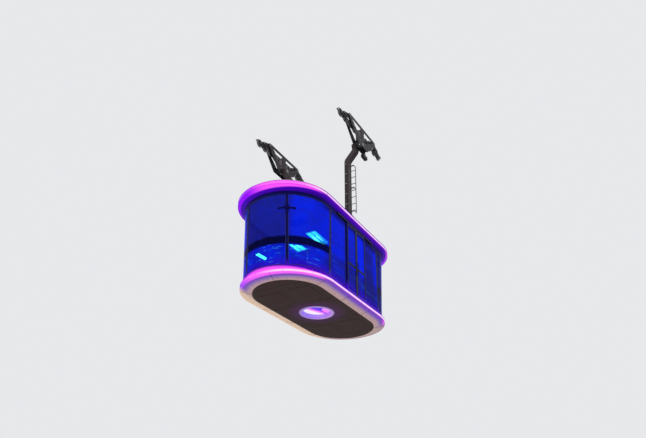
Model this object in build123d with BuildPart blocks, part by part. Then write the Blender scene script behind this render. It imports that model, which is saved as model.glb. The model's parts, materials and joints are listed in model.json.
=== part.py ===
from build123d import *
import math
import os

# Cabin of an aerial tramway, hanging level from two roller carriages.
# Millimetres, +Z up, +X along the direction of travel.
# The origin lies midway between the two lines of rollers, at the height of the
# centre of the round bar that their grooves would hold.

os.makedirs("parts", exist_ok=True)

# The two lines on which the rollers run
ROPE_GAUGE = 3430
ROPE_DIAMETER = 40
HAUL_ROPE_DIAMETER = 30
HAUL_ROPE_DROP = 630

# Rollers, eight in each line
ROLLER_DIAMETER = 300
ROLLER_WIDTH = 70
ROLLER_PITCH = 340
ROLLER_START = 440
ROLLERS_PER_BOGIE = 4
GROOVE_PLAY = 0.5
GROOVE_FLANK_ANGLE = 30
ROLLER_LAND = 8
ROLLER_HUB_WALL = 20
ROLLER_WEB = 30
ROLLER_WEB_FLARE = 16

# Carriage beams
ROCKER_RISE = 110
BOGIE_RISE = 110
CHEEK_THICKNESS = 15
BOGIE_PLATE_THICKNESS = 16
MAIN_PLATE_THICKNESS = 20
PLATE_GAP = 5
CENTRE_LUG_X = 300
CENTRE_LUG_Z = 390
CENTRE_LUG_RADIUS = 60
BEAM_WINDOW_NEAR_X = 150
BEAM_WINDOW_FAR_X = 740
BEAM_WINDOW_TOP_Z = 300
BEAM_WINDOW_FOOT_Z = -140
BEAM_WINDOW_CORNER = 40
SPACER_X = 170
SPACER_Z = -180
SPACER_DIAMETER = 50

# Axles and pins, and the metal round them
AXLE_DIAMETER = 50
ROCKER_PIN_DIAMETER = 50
BOGIE_PIN_DIAMETER = 60
MAIN_PIN_DIAMETER = 90
MAIN_PIN_DROP = 300
EYE_WALL = 25
BOGIE_EYE_WALL = 42
BEAM_EYE_WALL = 54
MAIN_EYE_WALL = 72
PIN_CAP = 6
MAIN_CAP_RIM = 18
PIN_PLAY = 0.3
RUNNING_PLAY = 0.08

# Brake and clamp of each carriage
BRAKE_LENGTH = 170
BRAKE_TOP_Z = 360
BRAKE_BOTTOM_Z = -45
BRAKE_SLOT = 64
CLAMP_X = 300
CLAMP_LENGTH = 280
CLAMP_HEIGHT = 130
CLAMP_WIDTH = 120
CLAMP_HEAD_LENGTH = 140
CLAMP_NECK_LENGTH = 94
CLAMP_NECK_WIDTH = 60

# Hangers
HANGER_FOOT_Y = 1200
HANGER_WIDTH = 220
HANGER_DEPTH = 160
HUB_DIAMETER = 300
NECK_TOP_Z = -480
NECK_BOTTOM_Z = -850
NECK_RADIUS = 180
FOOT_PLATE = 30
FOOT_PLATE_DEPTH = 240
GUSSET_HEIGHT = 150
GUSSET_THICKNESS = 20

# Cabin plan: straight sides between round ends, which lean outwards with height
FLOOR_LIGHT_Z = -6200
GLASS_TOP_Z = -3750
ROOF_LIGHT_Z = GLASS_TOP_Z + 250
WALL_RADIUS = 1420
STRAIGHT_HALF = 1533
END_LEAN = 224
WALL_THICKNESS = 58
CURVE_GAP = 0.3
OVERRUN = 400

# Bands of the wall, from the floor up
LIGHT_HEIGHT = 90
FLOOR_LIGHT_RADIUS = 1505
FLANGE_RADIUS = 1478
LIGHT_DEPTH = 27
DECK_Z = -6150
DECK_THICKNESS = 50
DECK_LEDGE = 80
SILL_TOP_Z = -6000
FRIEZE_HEIGHT = 110
CEILING_Z = GLASS_TOP_Z + FRIEZE_HEIGHT
CEILING_THICKNESS = 20
GLASS_THICKNESS = 12
GLASS_INSET = 4

# Roof
RIM_RADIUS = 1545
RIM_HALF = 1882
RIM_LIP = 35
ROOF_SEAT = 25
ROOF_EDGE_Z = CEILING_Z + 200
ROOF_SHOULDER_RISE = 70
ROOF_SHOULDER_INSET = 45
ROOF_TOP_Z = ROOF_EDGE_Z + 170
ROOF_FLAT_RADIUS = 1330
ROOF_THICKNESS = 28
YOKE_LENGTH = 300
YOKE_HEIGHT = 160
YOKE_HALF_SPAN = 1320
YOKE_FLANGE = 20
YOKE_BOX_LENGTH = 230
YOKE_END_PLATE = 16

# Underside
SKIRT_DROP = 130
SKIRT_TOP_INSET = 14
SKIRT_BOTTOM_RADIUS = 1140
SKIRT_WALL = 100
PAN_THICKNESS = 12
PAN_RADIUS = 1130
PORTHOLE_RADIUS = 560
PORTHOLE_WELL = 480
PORTHOLE_WALL = 10
PORTHOLE_FLANGE = 18
PORTHOLE_CHAMFER = 9
FLOOR_WINDOW_THICKNESS = 40

# Windows and posts
DOOR_OPENING = 1200
JAMB_WIDTH = 60
CORNER_POST_X = 1600
CORNER_POST_WIDTH = 80
MULLION_ANGLE = 30
MULLION_WIDTH = 60

# Sliding doors, two leaves on each side
LEAF_WIDTH = 610
LEAF_GAP = 5
LEAF_THICKNESS = 40
LEAF_CLEARANCE = 6
LEAF_BOTTOM_Z = -6140
LEAF_TOP_Z = GLASS_TOP_Z + 10
STILE_WIDTH = 55
BELT_Z = -5150
BELT_HEIGHT = 70
BOTTOM_RAIL = 110
TOP_RAIL = 80
HEADER_HALF = 1215
HEADER_LIFT = 12
HEADER_HEIGHT = 76
HEADER_DEPTH = 54
HEADER_SLOT_WIDTH = 44
HEADER_WALL = 6
HEADER_MOUTH = 24
RUNNER_X = 183
RUNNER_LENGTH = 50
RUNNER_WIDTH = 32
RUNNER_STEM = 12
GUIDE_WIDTH = 8
GUIDE_HEIGHT = 22
GUIDE_HEADROOM = 3

# Inside
RAIL_BAND_BOTTOM_Z = -5350
RAIL_BAND_TOP_Z = -5100
RAIL_BAND_DEPTH = 30
RAIL_BAND_START = 1500
HAND_RAIL_Y = 700
HAND_RAIL_Z = -4150
HAND_RAIL_HALF = 1450
HAND_RAIL_DIAMETER = 34
HAND_RAIL_STEM = 22
HAND_RAIL_END = 100
HAND_RAIL_STEM_X = 450
LAMP_PITCH = 950
LAMP_LENGTH = 420
LAMP_WIDTH = 60
LAMP_DEPTH = 30
LAMP_PAIR_PITCH = 150

# Roof hatch
HATCH_X = 1100
HATCH_LENGTH = 620
HATCH_WIDTH = 520
COAMING_WALL = 12
COAMING_RISE = 40
LID_THICKNESS = 30
LID_OVERHANG = 25
HINGE_PIN_DIAMETER = 16
HINGE_OFFSET = 40
HINGE_FOOT = 10
LUG_WIDTH = 40
LUG_Y = 180

# Roof cabinet, with louvres in its long sides
CABINET_X = -1100
CABINET_LENGTH = 760
CABINET_WIDTH = 560
CABINET_HEIGHT = 240
CABINET_WALL = 6
CABINET_FLANGE = 20
CABINET_CHAMFER = 25
LOUVRE_LENGTH = 240
LOUVRE_HEIGHT = 12
LOUVRE_PITCH = 30
LOUVRE_X = 170
LOUVRES = 5

# Toe boards round the roof, with a gap at the yoke
TOE_RADIUS = 1150
TOE_THICKNESS = 12
TOE_HEIGHT = 80
TOE_FOOT = 15
TOE_FOOT_LENGTH = 80
TOE_FOOT_WIDTH = 50
TOE_GAP = 220
TOE_FOOT_X = (350, 1115, 1882)
TOE_FOOT_ANGLES = (-60, -20, 20, 60)

# Ladders on the hangers
LADDER_WIDTH = 340
LADDER_STAND_OFF = 150
LADDER_LIFT = 180
LADDER_TOP_Z = -950
STILE_DEPTH = 50
STILE_THICKNESS = 10
RUNG_DIAMETER = 24
RUNG_PITCH = 280
RUNG_START = 130
LADDER_BRACKETS = 3

# Attendant's desk, beside the left corner post at the rear
DESK_X = -1650
DESK_WIDTH = 280
DESK_BACK_Y = 1300
DESK_DEPTH = 230
DESK_NOSE = 140
DESK_SHELF_Z = -5190
DESK_NOSE_HEIGHT = 40
DESK_NECK_Z = -5260
DESK_TOP_Z = -5040
DESK_TOP_DEPTH = 110

# Places that follow from the driving dimensions
ROLLER_RADIUS = ROLLER_DIAMETER / 2
AXLE_Z = ROLLER_RADIUS
ROCKER_PIN_Z = AXLE_Z + ROCKER_RISE
BOGIE_PIN_Z = ROCKER_PIN_Z + BOGIE_RISE
BOGIE_X = ROLLER_START + ROLLER_PITCH * (ROLLERS_PER_BOGIE - 1) / 2
CHEEK_OFFSET = ROLLER_WIDTH / 2 + PLATE_GAP
BOGIE_PLATE_OFFSET = CHEEK_OFFSET + CHEEK_THICKNESS + PLATE_GAP
MAIN_PLATE_OFFSET = BOGIE_PLATE_OFFSET + BOGIE_PLATE_THICKNESS + PIN_CAP + 2 * PLATE_GAP
MAIN_PLATE_OUTSIDE = MAIN_PLATE_OFFSET + MAIN_PLATE_THICKNESS
HUB_Y = ROPE_GAUGE / 2 - MAIN_PLATE_OUTSIDE - PLATE_GAP - HANGER_DEPTH / 2
PIN_INNER_Y = HUB_Y - HANGER_DEPTH / 2 - PLATE_GAP
PIN_OUTER_Y = ROPE_GAUGE / 2 + MAIN_PLATE_OUTSIDE
YOKE_TOP_Z = ROOF_TOP_Z + YOKE_HEIGHT
FOOT_TOP_Z = YOKE_TOP_Z + FOOT_PLATE
FLANGE_BOTTOM_Z = FLOOR_LIGHT_Z - LIGHT_HEIGHT / 2
RIM_BOTTOM_Z = ROOF_LIGHT_Z - LIGHT_HEIGHT / 2
SKIRT_BOTTOM_Z = FLOOR_LIGHT_Z - SKIRT_DROP
PAN_BOTTOM_Z = SKIRT_BOTTOM_Z - PAN_THICKNESS
DECK_BOTTOM_Z = DECK_Z - DECK_THICKNESS
WALL_INSIDE = WALL_RADIUS - WALL_THICKNESS
LEAF_Y = WALL_RADIUS + LEAF_CLEARANCE + LEAF_THICKNESS / 2
HEADER_BOTTOM_Z = LEAF_TOP_Z + HEADER_LIFT
HEADER_TOP_Z = HEADER_BOTTOM_Z + HEADER_HEIGHT
COAMING_TOP_Z = ROOF_TOP_Z + COAMING_RISE
HINGE_X = HATCH_X - HATCH_LENGTH / 2 - HINGE_OFFSET
HINGE_Z = COAMING_TOP_Z + LID_THICKNESS / 2
SIDES = (("left", 1), ("right", -1))
ENDS = (("front", 1), ("rear", -1))


def save(piece, name):
    """Label a finished piece and write it as one STEP file."""
    piece.part.label = name
    export_step(piece.part, f"parts/{name}.step")


def half_length(z):
    """Half of the wall's straight length at height z."""
    share = (z - FLOOR_LIGHT_Z) / (ROOF_LIGHT_Z - FLOOR_LIGHT_Z)
    return STRAIGHT_HALF + END_LEAN * share


def stadium(z, half, radius):
    """A level outline of the cabin: straight sides between two half circles."""
    with BuildSketch(Plane.XY.offset(z)) as outline:
        SlotOverall(2 * (half + radius), 2 * radius)
    return outline.sketch


def upright(low, high, half, radius, mode=Mode.ADD):
    """A stadium-shaped block with upright faces, between heights low and high."""
    extrude(stadium(low, half, radius), amount=high - low, mode=mode)


def lean_plane(end, z):
    """The plane square to the lean of an end wall, with its origin on the wall's axis."""
    rise = ROOF_LIGHT_Z - FLOOR_LIGHT_Z
    return Plane(
        (end * half_length(z), 0, z),
        x_dir=(end * rise, 0, -END_LEAN),
        z_dir=(end * END_LEAN, 0, rise),
    )


def leaning(low, high, radius):
    """A stadium-shaped block whose round ends are cylinders that lean outwards."""
    middle = (low + high) / 2
    with BuildPart() as block:
        with BuildSketch(lean_plane(1, middle)):
            Circle(radius)
            with Locations((-STRAIGHT_HALF, 0)):
                Rectangle(2 * STRAIGHT_HALF, 2 * radius)
        extrude(amount=(high - low) / 2 + OVERRUN, both=True)
        with Locations((2 * WALL_RADIUS, 0, middle)):
            Box(4 * WALL_RADIUS, 4 * WALL_RADIUS, high - low, mode=Mode.INTERSECT)
        mirror(about=Plane.YZ)
    return block.part


def wall_ring(low, high, outside, inside):
    """A ring of the leaning wall between heights low and high."""
    add(leaning(low, high, outside))
    add(leaning(low, high, inside), mode=Mode.SUBTRACT)


def carried_round(points, half):
    """A profile carried round a stadium; points are distance from its middle, height."""
    with BuildPart() as ring:
        with BuildSketch(Plane.YZ):
            Polygon(*points, align=None)
        extrude(amount=half, both=True)
        mirror(about=Plane.XZ)
        for end in (-1, 1):
            with BuildSketch(Plane.YZ.offset(end * half)):
                Polygon(*points, align=None)
            revolve(axis=Axis((end * half, 0, 0), (0, 0, -end)), revolution_arc=180)
    return ring.part


def post_blocks(low, high):
    """Blocks that stand where the posts and mullions cross the wall."""
    middle = (low + high) / 2
    door_post = (DOOR_OPENING + JAMB_WIDTH) / 2
    with BuildPart() as blocks:
        # columns: distance of the post from the middle, width of the post
        for place, width in ((door_post, JAMB_WIDTH), (CORNER_POST_X, CORNER_POST_WIDTH)):
            with Locations((place, 0, middle), (-place, 0, middle)):
                Box(width, 3 * WALL_RADIUS, high - low)
        for end in (1, -1):
            with BuildSketch(lean_plane(end, middle)):
                with PolarLocations(WALL_RADIUS, 2, -MULLION_ANGLE, 2 * MULLION_ANGLE, endpoint=True):
                    Rectangle(4 * WALL_THICKNESS, MULLION_WIDTH)
            extrude(amount=(high - low) / 2 + OVERRUN, both=True)
    return blocks.part


def across_pin(x, y, z, diameter, length, mode=Mode.ADD):
    """A cylinder that lies along Y."""
    with Locations(Location((x, y, z), (90, 0, 0))):
        Cylinder(diameter / 2, length, mode=mode)


# Carriage rollers

ROLLER_PLACES = []
for end in (-1, 1):
    for step in range(ROLLERS_PER_BOGIE):
        ROLLER_PLACES.append(end * (ROLLER_START + step * ROLLER_PITCH))
ROLLER_PLACES.sort()


def roller(x, y):
    """A grooved roller with dished sides, turning about its axle."""
    groove = ROPE_DIAMETER / 2 + GROOVE_PLAY
    flank = math.radians(GROOVE_FLANK_ANGLE)
    mouth = groove / math.cos(flank)
    bore = AXLE_DIAMETER / 2 + RUNNING_PLAY
    # columns: distance from the middle of the width, distance from the axle
    side = [
        (ROLLER_WIDTH / 2, bore),
        (ROLLER_WIDTH / 2, bore + ROLLER_HUB_WALL),
        (ROLLER_WEB / 2, bore + ROLLER_HUB_WALL + ROLLER_WEB_FLARE),
        (mouth + ROLLER_LAND, ROLLER_RADIUS),
        (mouth, ROLLER_RADIUS),
        (mouth - groove * math.tan(flank), ROLLER_RADIUS - groove),
    ]
    outline = side + [(-across, out) for across, out in reversed(side)]
    with BuildPart() as wheel:
        with BuildSketch(Plane.YZ.offset(x)):
            Polygon(*[(y + across, AXLE_Z + out) for across, out in outline], align=None)
        revolve(axis=Axis((x, y, AXLE_Z), (0, 1, 0)))
    return wheel


for side_name, side in SIDES:
    for number, place in enumerate(ROLLER_PLACES, start=1):
        save(roller(place, side * ROPE_GAUGE / 2), f"roller_{side_name}_{number}")


# Carriage beams: each is a pair of plates, joined by the axles or pins it carries

def plate_planes(side, offset, thickness):
    """Middle planes of the two plates on either side of a line of rollers."""
    rope = side * ROPE_GAUGE / 2
    return [Plane.XZ.offset(-rope - face * (offset + thickness / 2)) for face in (1, -1)]


def eyes(places, radius, mode=Mode.ADD):
    """Round eyes or holes in the outline of a plate."""
    with Locations(*places):
        Circle(radius, mode=mode)


with BuildPart() as rocker_beams:
    for _, side in SIDES:
        for middle in (-BOGIE_X, BOGIE_X):
            for centre in (middle - ROLLER_PITCH, middle + ROLLER_PITCH):
                axles = [(centre - ROLLER_PITCH / 2, AXLE_Z), (centre + ROLLER_PITCH / 2, AXLE_Z)]
                for plane in plate_planes(side, CHEEK_OFFSET, CHEEK_THICKNESS):
                    with BuildSketch(plane):
                        eyes(axles, AXLE_DIAMETER / 2 + EYE_WALL)
                        eyes([(centre, ROCKER_PIN_Z)], ROCKER_PIN_DIAMETER / 2 + EYE_WALL)
                        make_hull()
                        eyes([(centre, ROCKER_PIN_Z)], ROCKER_PIN_DIAMETER / 2 + PIN_PLAY, Mode.SUBTRACT)
                    extrude(amount=CHEEK_THICKNESS / 2, both=True)
                for x, z in axles:
                    across_pin(x, side * ROPE_GAUGE / 2, z, AXLE_DIAMETER, 2 * CHEEK_OFFSET)
save(rocker_beams, "rocker_beams")

with BuildPart() as bogie_beams:
    for _, side in SIDES:
        for middle in (-BOGIE_X, BOGIE_X):
            pins = [(middle - ROLLER_PITCH, ROCKER_PIN_Z), (middle + ROLLER_PITCH, ROCKER_PIN_Z)]
            for plane in plate_planes(side, BOGIE_PLATE_OFFSET, BOGIE_PLATE_THICKNESS):
                with BuildSketch(plane):
                    eyes(pins, ROCKER_PIN_DIAMETER / 2 + EYE_WALL)
                    eyes([(middle, BOGIE_PIN_Z)], BOGIE_PIN_DIAMETER / 2 + BOGIE_EYE_WALL)
                    make_hull()
                    eyes([(middle, BOGIE_PIN_Z)], BOGIE_PIN_DIAMETER / 2 + PIN_PLAY, Mode.SUBTRACT)
                extrude(amount=BOGIE_PLATE_THICKNESS / 2, both=True)
            for x, z in pins:
                across_pin(x, side * ROPE_GAUGE / 2, z, ROCKER_PIN_DIAMETER, 2 * BOGIE_PLATE_OFFSET)
save(bogie_beams, "bogie_beams")

with BuildPart() as main_beams:
    for _, side in SIDES:
        bogie_pins = [(-BOGIE_X, BOGIE_PIN_Z), (BOGIE_X, BOGIE_PIN_Z)]
        for plane in plate_planes(side, MAIN_PLATE_OFFSET, MAIN_PLATE_THICKNESS):
            with BuildSketch(plane):
                eyes(bogie_pins, BOGIE_PIN_DIAMETER / 2 + BEAM_EYE_WALL)
                eyes([(-CENTRE_LUG_X, CENTRE_LUG_Z), (CENTRE_LUG_X, CENTRE_LUG_Z)], CENTRE_LUG_RADIUS)
                main_eye = MAIN_PIN_DIAMETER / 2 + MAIN_EYE_WALL
                eyes([(-CENTRE_LUG_X, -MAIN_PIN_DROP), (CENTRE_LUG_X, -MAIN_PIN_DROP)], main_eye)
                make_hull()
                eyes([(0, -MAIN_PIN_DROP)], MAIN_PIN_DIAMETER / 2 + PIN_PLAY, Mode.SUBTRACT)
            extrude(amount=MAIN_PLATE_THICKNESS / 2, both=True)
            for end in (-1, 1):
                corners = [
                    (end * BEAM_WINDOW_NEAR_X, BEAM_WINDOW_TOP_Z),
                    (end * BEAM_WINDOW_FAR_X, BEAM_WINDOW_TOP_Z),
                    (end * BEAM_WINDOW_NEAR_X, BEAM_WINDOW_FOOT_Z),
                ]
                with BuildSketch(plane):
                    eyes(corners, BEAM_WINDOW_CORNER)
                    make_hull()
                extrude(amount=MAIN_PLATE_THICKNESS / 2, both=True, mode=Mode.SUBTRACT)
        rope_y = side * ROPE_GAUGE / 2
        for x, z in bogie_pins:
            across_pin(x, rope_y, z, BOGIE_PIN_DIAMETER, 2 * MAIN_PLATE_OFFSET)
        for x in (-SPACER_X, SPACER_X):
            across_pin(x, rope_y, SPACER_Z, SPACER_DIAMETER, 2 * MAIN_PLATE_OFFSET)
save(main_beams, "main_beams")

# Each main pin runs inboard through the hub of its hanger
with BuildPart() as main_pins:
    for _, side in SIDES:
        middle = side * (PIN_OUTER_Y + PIN_INNER_Y) / 2
        across_pin(0, middle, -MAIN_PIN_DROP, MAIN_PIN_DIAMETER, PIN_OUTER_Y - PIN_INNER_Y)
        for y in (PIN_OUTER_Y + PIN_CAP / 2, PIN_INNER_Y - PIN_CAP / 2):
            across_pin(0, side * y, -MAIN_PIN_DROP, MAIN_PIN_DIAMETER + 2 * MAIN_CAP_RIM, PIN_CAP)
save(main_pins, "main_pins")

with BuildPart() as rope_brakes:
    for _, side in SIDES:
        rope_y = side * ROPE_GAUGE / 2
        with Locations((0, rope_y, (BRAKE_TOP_Z + BRAKE_BOTTOM_Z) / 2)):
            Box(BRAKE_LENGTH, 2 * MAIN_PLATE_OFFSET, BRAKE_TOP_Z - BRAKE_BOTTOM_Z)
        with Locations((0, rope_y, (ROPE_DIAMETER + BRAKE_BOTTOM_Z) / 2)):
            Box(2 * BRAKE_LENGTH, BRAKE_SLOT, ROPE_DIAMETER - BRAKE_BOTTOM_Z, mode=Mode.SUBTRACT)
save(rope_brakes, "rope_brakes")

with BuildPart() as haul_clamps:
    neck_bottom = -HAUL_ROPE_DROP + CLAMP_HEIGHT / 2
    for _, side in SIDES:
        rope_y = side * ROPE_GAUGE / 2
        with Locations((CLAMP_X, rope_y, -HAUL_ROPE_DROP)):
            Box(CLAMP_LENGTH, CLAMP_WIDTH, CLAMP_HEIGHT)
        with Locations((CLAMP_X, rope_y, (neck_bottom - MAIN_PIN_DROP) / 2)):
            Box(CLAMP_NECK_LENGTH, CLAMP_NECK_WIDTH, -MAIN_PIN_DROP - neck_bottom)
        with Locations((CLAMP_X, rope_y, -MAIN_PIN_DROP)):
            Box(CLAMP_HEAD_LENGTH, 2 * MAIN_PLATE_OFFSET, CLAMP_HEIGHT)
        with Locations(Location((CLAMP_X, rope_y, -HAUL_ROPE_DROP), (0, 90, 0))):
            Cylinder(HAUL_ROPE_DIAMETER / 2, 2 * CLAMP_LENGTH, mode=Mode.SUBTRACT)
save(haul_clamps, "haul_clamps")


# Hangers and the yoke that carries their feet

with BuildPart() as hangers:
    for _, side in SIDES:
        foot_y = side * HANGER_FOOT_Y
        hub_y = side * HUB_Y
        with BuildLine() as spine:
            FilletPolyline(
                (0, foot_y, FOOT_TOP_Z),
                (0, foot_y, NECK_BOTTOM_Z),
                (0, hub_y, NECK_TOP_Z),
                (0, hub_y, -MAIN_PIN_DROP),
                radius=NECK_RADIUS,
            )
        with BuildSketch(Plane.XY.offset(FOOT_TOP_Z)):
            with Locations((0, foot_y)):
                Rectangle(HANGER_WIDTH, HANGER_DEPTH)
        sweep(path=spine.line)
        across_pin(0, hub_y, -MAIN_PIN_DROP, HUB_DIAMETER, HANGER_DEPTH)
        bore = MAIN_PIN_DIAMETER + 2 * RUNNING_PLAY
        across_pin(0, hub_y, -MAIN_PIN_DROP, bore, 2 * HANGER_DEPTH, Mode.SUBTRACT)
        with Locations((0, foot_y, YOKE_TOP_Z + FOOT_PLATE / 2)):
            Box(YOKE_LENGTH, FOOT_PLATE_DEPTH, FOOT_PLATE)
        # columns: plane of the gusset, where the column's middle is in it, half widths of column and plate
        gussets = (
            (Plane.XZ.offset(-foot_y), 0, HANGER_WIDTH / 2, YOKE_LENGTH / 2),
            (Plane.YZ, foot_y, HANGER_DEPTH / 2, FOOT_PLATE_DEPTH / 2),
        )
        for plane, middle, near, far in gussets:
            for face in (-1, 1):
                with BuildSketch(plane):
                    Polygon(
                        (middle + face * near, FOOT_TOP_Z),
                        (middle + face * far, FOOT_TOP_Z),
                        (middle + face * near, FOOT_TOP_Z + GUSSET_HEIGHT),
                        align=None,
                    )
                extrude(amount=GUSSET_THICKNESS / 2, both=True)
save(hangers, "hangers")

with BuildPart() as roof_yoke:
    middle_z = ROOF_TOP_Z + YOKE_HEIGHT / 2
    with BuildSketch(Plane.XZ):
        with Locations((0, middle_z)):
            Rectangle(YOKE_BOX_LENGTH, YOKE_HEIGHT)
        with Locations((0, ROOF_TOP_Z + YOKE_FLANGE / 2), (0, YOKE_TOP_Z - YOKE_FLANGE / 2)):
            Rectangle(YOKE_LENGTH, YOKE_FLANGE)
    extrude(amount=YOKE_HALF_SPAN, both=True)
    end_y = YOKE_HALF_SPAN - YOKE_END_PLATE / 2
    with Locations((0, end_y, middle_z), (0, -end_y, middle_z)):
        Box(YOKE_LENGTH, YOKE_END_PLATE, YOKE_HEIGHT)
save(roof_yoke, "roof_yoke")


# Roof

shoulder_radius = RIM_RADIUS - ROOF_SHOULDER_INSET
shoulder_z = ROOF_EDGE_Z + ROOF_SHOULDER_RISE
roof_outline = [
    (0, ROOF_TOP_Z),
    (ROOF_FLAT_RADIUS, ROOF_TOP_Z),
    (shoulder_radius, shoulder_z),
    (RIM_RADIUS + RIM_LIP, ROOF_EDGE_Z),
    (RIM_RADIUS - ROOF_SEAT, ROOF_EDGE_Z),
    (shoulder_radius - ROOF_THICKNESS, shoulder_z - ROOF_THICKNESS),
    (ROOF_FLAT_RADIUS - ROOF_THICKNESS, ROOF_TOP_Z - ROOF_THICKNESS),
    (0, ROOF_TOP_Z - ROOF_THICKNESS),
]
with BuildPart() as roof_shell:
    add(carried_round(roof_outline, RIM_HALF))
    with Locations((HATCH_X, 0, ROOF_TOP_Z)):
        Box(HATCH_LENGTH, HATCH_WIDTH, 4 * ROOF_THICKNESS, mode=Mode.SUBTRACT)
save(roof_shell, "roof_shell")

ceiling_half = half_length(CEILING_Z)
with BuildPart() as roof_rim:
    loft(
        sections=[
            stadium(CEILING_Z, ceiling_half, WALL_RADIUS),
            stadium(RIM_BOTTOM_Z, RIM_HALF, RIM_RADIUS),
        ],
        ruled=True,
    )
    upright(RIM_BOTTOM_Z, ROOF_EDGE_Z, RIM_HALF, RIM_RADIUS)
    upright(CEILING_Z, ROOF_EDGE_Z, ceiling_half, WALL_INSIDE, Mode.SUBTRACT)
save(roof_rim, "roof_rim")

with BuildPart() as roof_light_strip:
    strip_top = RIM_BOTTOM_Z + LIGHT_HEIGHT
    upright(RIM_BOTTOM_Z, strip_top, RIM_HALF, RIM_RADIUS + CURVE_GAP + LIGHT_DEPTH)
    upright(RIM_BOTTOM_Z, strip_top, RIM_HALF, RIM_RADIUS + CURVE_GAP, Mode.SUBTRACT)
save(roof_light_strip, "roof_light_strip")

with BuildPart() as ceiling:
    upright(CEILING_Z, CEILING_Z + CEILING_THICKNESS, ceiling_half, WALL_INSIDE - CURVE_GAP)
    with Locations((HATCH_X, 0, CEILING_Z)):
        Box(HATCH_LENGTH, HATCH_WIDTH, 4 * CEILING_THICKNESS, mode=Mode.SUBTRACT)
save(ceiling, "ceiling")

with BuildPart() as ceiling_lamps:
    with Locations((0, 0, CEILING_Z - LAMP_DEPTH / 2)):
        with GridLocations(0, LAMP_PITCH, 1, 3):
            with GridLocations(0, LAMP_PAIR_PITCH, 1, 2):
                Box(LAMP_LENGTH, LAMP_WIDTH, LAMP_DEPTH)
save(ceiling_lamps, "ceiling_lamps")

# Ladders: two stiles and their rungs, stood off the front face of each hanger

with BuildPart() as ladders:
    foot_z = FOOT_TOP_Z + LADDER_LIFT
    ladder_height = LADDER_TOP_Z - foot_z
    hanger_face = HANGER_WIDTH / 2
    stile_x = hanger_face + LADDER_STAND_OFF
    leg_length = LADDER_STAND_OFF + STILE_DEPTH / 2
    bracket_pitch = (ladder_height - STILE_DEPTH) / (LADDER_BRACKETS - 1)
    for _, side in SIDES:
        ladder_y = side * HANGER_FOOT_Y
        for stile in (-1, 1):
            stile_y = ladder_y + stile * LADDER_WIDTH / 2
            with Locations((stile_x, stile_y, foot_z + ladder_height / 2)):
                Box(STILE_DEPTH, STILE_THICKNESS, ladder_height)
        for step in range(LADDER_BRACKETS):
            bracket_z = foot_z + STILE_DEPTH / 2 + step * bracket_pitch
            with Locations((hanger_face + STILE_THICKNESS / 2, ladder_y, bracket_z)):
                Box(STILE_THICKNESS, LADDER_WIDTH + STILE_THICKNESS, STILE_DEPTH)
            for stile in (-1, 1):
                stile_y = ladder_y + stile * LADDER_WIDTH / 2
                with Locations((hanger_face + leg_length / 2, stile_y, bracket_z)):
                    Box(leg_length, STILE_THICKNESS, STILE_DEPTH)
        rung_z = foot_z + RUNG_START
        while rung_z < LADDER_TOP_Z - STILE_DEPTH:
            across_pin(stile_x, ladder_y, rung_z, RUNG_DIAMETER, LADDER_WIDTH)
            rung_z += RUNG_PITCH
save(ladders, "ladders")

# Roof furniture: a louvred cabinet behind the yoke, and toe boards

with BuildPart() as roof_cabinet:
    with Locations((CABINET_X, 0, ROOF_TOP_Z + CABINET_HEIGHT / 2)):
        Box(CABINET_LENGTH, CABINET_WIDTH, CABINET_HEIGHT)
    chamfer(roof_cabinet.edges().group_by(Axis.Z)[-1], CABINET_CHAMFER)
    with Locations((CABINET_X, 0, ROOF_TOP_Z + CABINET_WALL / 2)):
        Box(CABINET_LENGTH + 2 * CABINET_FLANGE, CABINET_WIDTH + 2 * CABINET_FLANGE, CABINET_WALL)
    hollow = CABINET_HEIGHT - CABINET_CHAMFER
    with Locations((CABINET_X, 0, ROOF_TOP_Z + hollow / 2)):
        Box(CABINET_LENGTH - 2 * CABINET_WALL, CABINET_WIDTH - 2 * CABINET_WALL, hollow, mode=Mode.SUBTRACT)
    for row in range(LOUVRES):
        louvre_z = ROOF_TOP_Z + CABINET_HEIGHT / 2 + (row - LOUVRES / 2) * LOUVRE_PITCH
        for x in (CABINET_X - LOUVRE_X, CABINET_X + LOUVRE_X):
            with Locations((x, 0, louvre_z)):
                Box(LOUVRE_LENGTH, 2 * CABINET_WIDTH, LOUVRE_HEIGHT, mode=Mode.SUBTRACT)
save(roof_cabinet, "roof_cabinet")

with BuildPart() as toe_boards:
    board_low = ROOF_TOP_Z + TOE_FOOT
    board_outside = TOE_RADIUS + TOE_THICKNESS
    board = (
        (TOE_RADIUS, board_low),
        (board_outside, board_low),
        (board_outside, board_low + TOE_HEIGHT),
        (TOE_RADIUS, board_low + TOE_HEIGHT),
    )
    add(carried_round(board, RIM_HALF))
    foot_radius = TOE_RADIUS + TOE_THICKNESS / 2
    foot_middle_z = ROOF_TOP_Z + TOE_FOOT / 2
    for end in (-1, 1):
        for x in TOE_FOOT_X:
            with Locations((end * x, foot_radius, foot_middle_z), (end * x, -foot_radius, foot_middle_z)):
                Box(TOE_FOOT_LENGTH, TOE_FOOT_WIDTH, TOE_FOOT)
        for angle in TOE_FOOT_ANGLES:
            turn = math.radians(angle)
            x = end * (RIM_HALF + foot_radius * math.cos(turn))
            y = foot_radius * math.sin(turn)
            with Locations(Location((x, y, foot_middle_z), (0, 0, end * angle))):
                Box(TOE_FOOT_WIDTH, TOE_FOOT_LENGTH, TOE_FOOT)
    with Locations((0, 0, board_low)):
        Box(2 * TOE_GAP, 4 * TOE_RADIUS, 4 * TOE_HEIGHT, mode=Mode.SUBTRACT)
save(toe_boards, "toe_boards")

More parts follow.
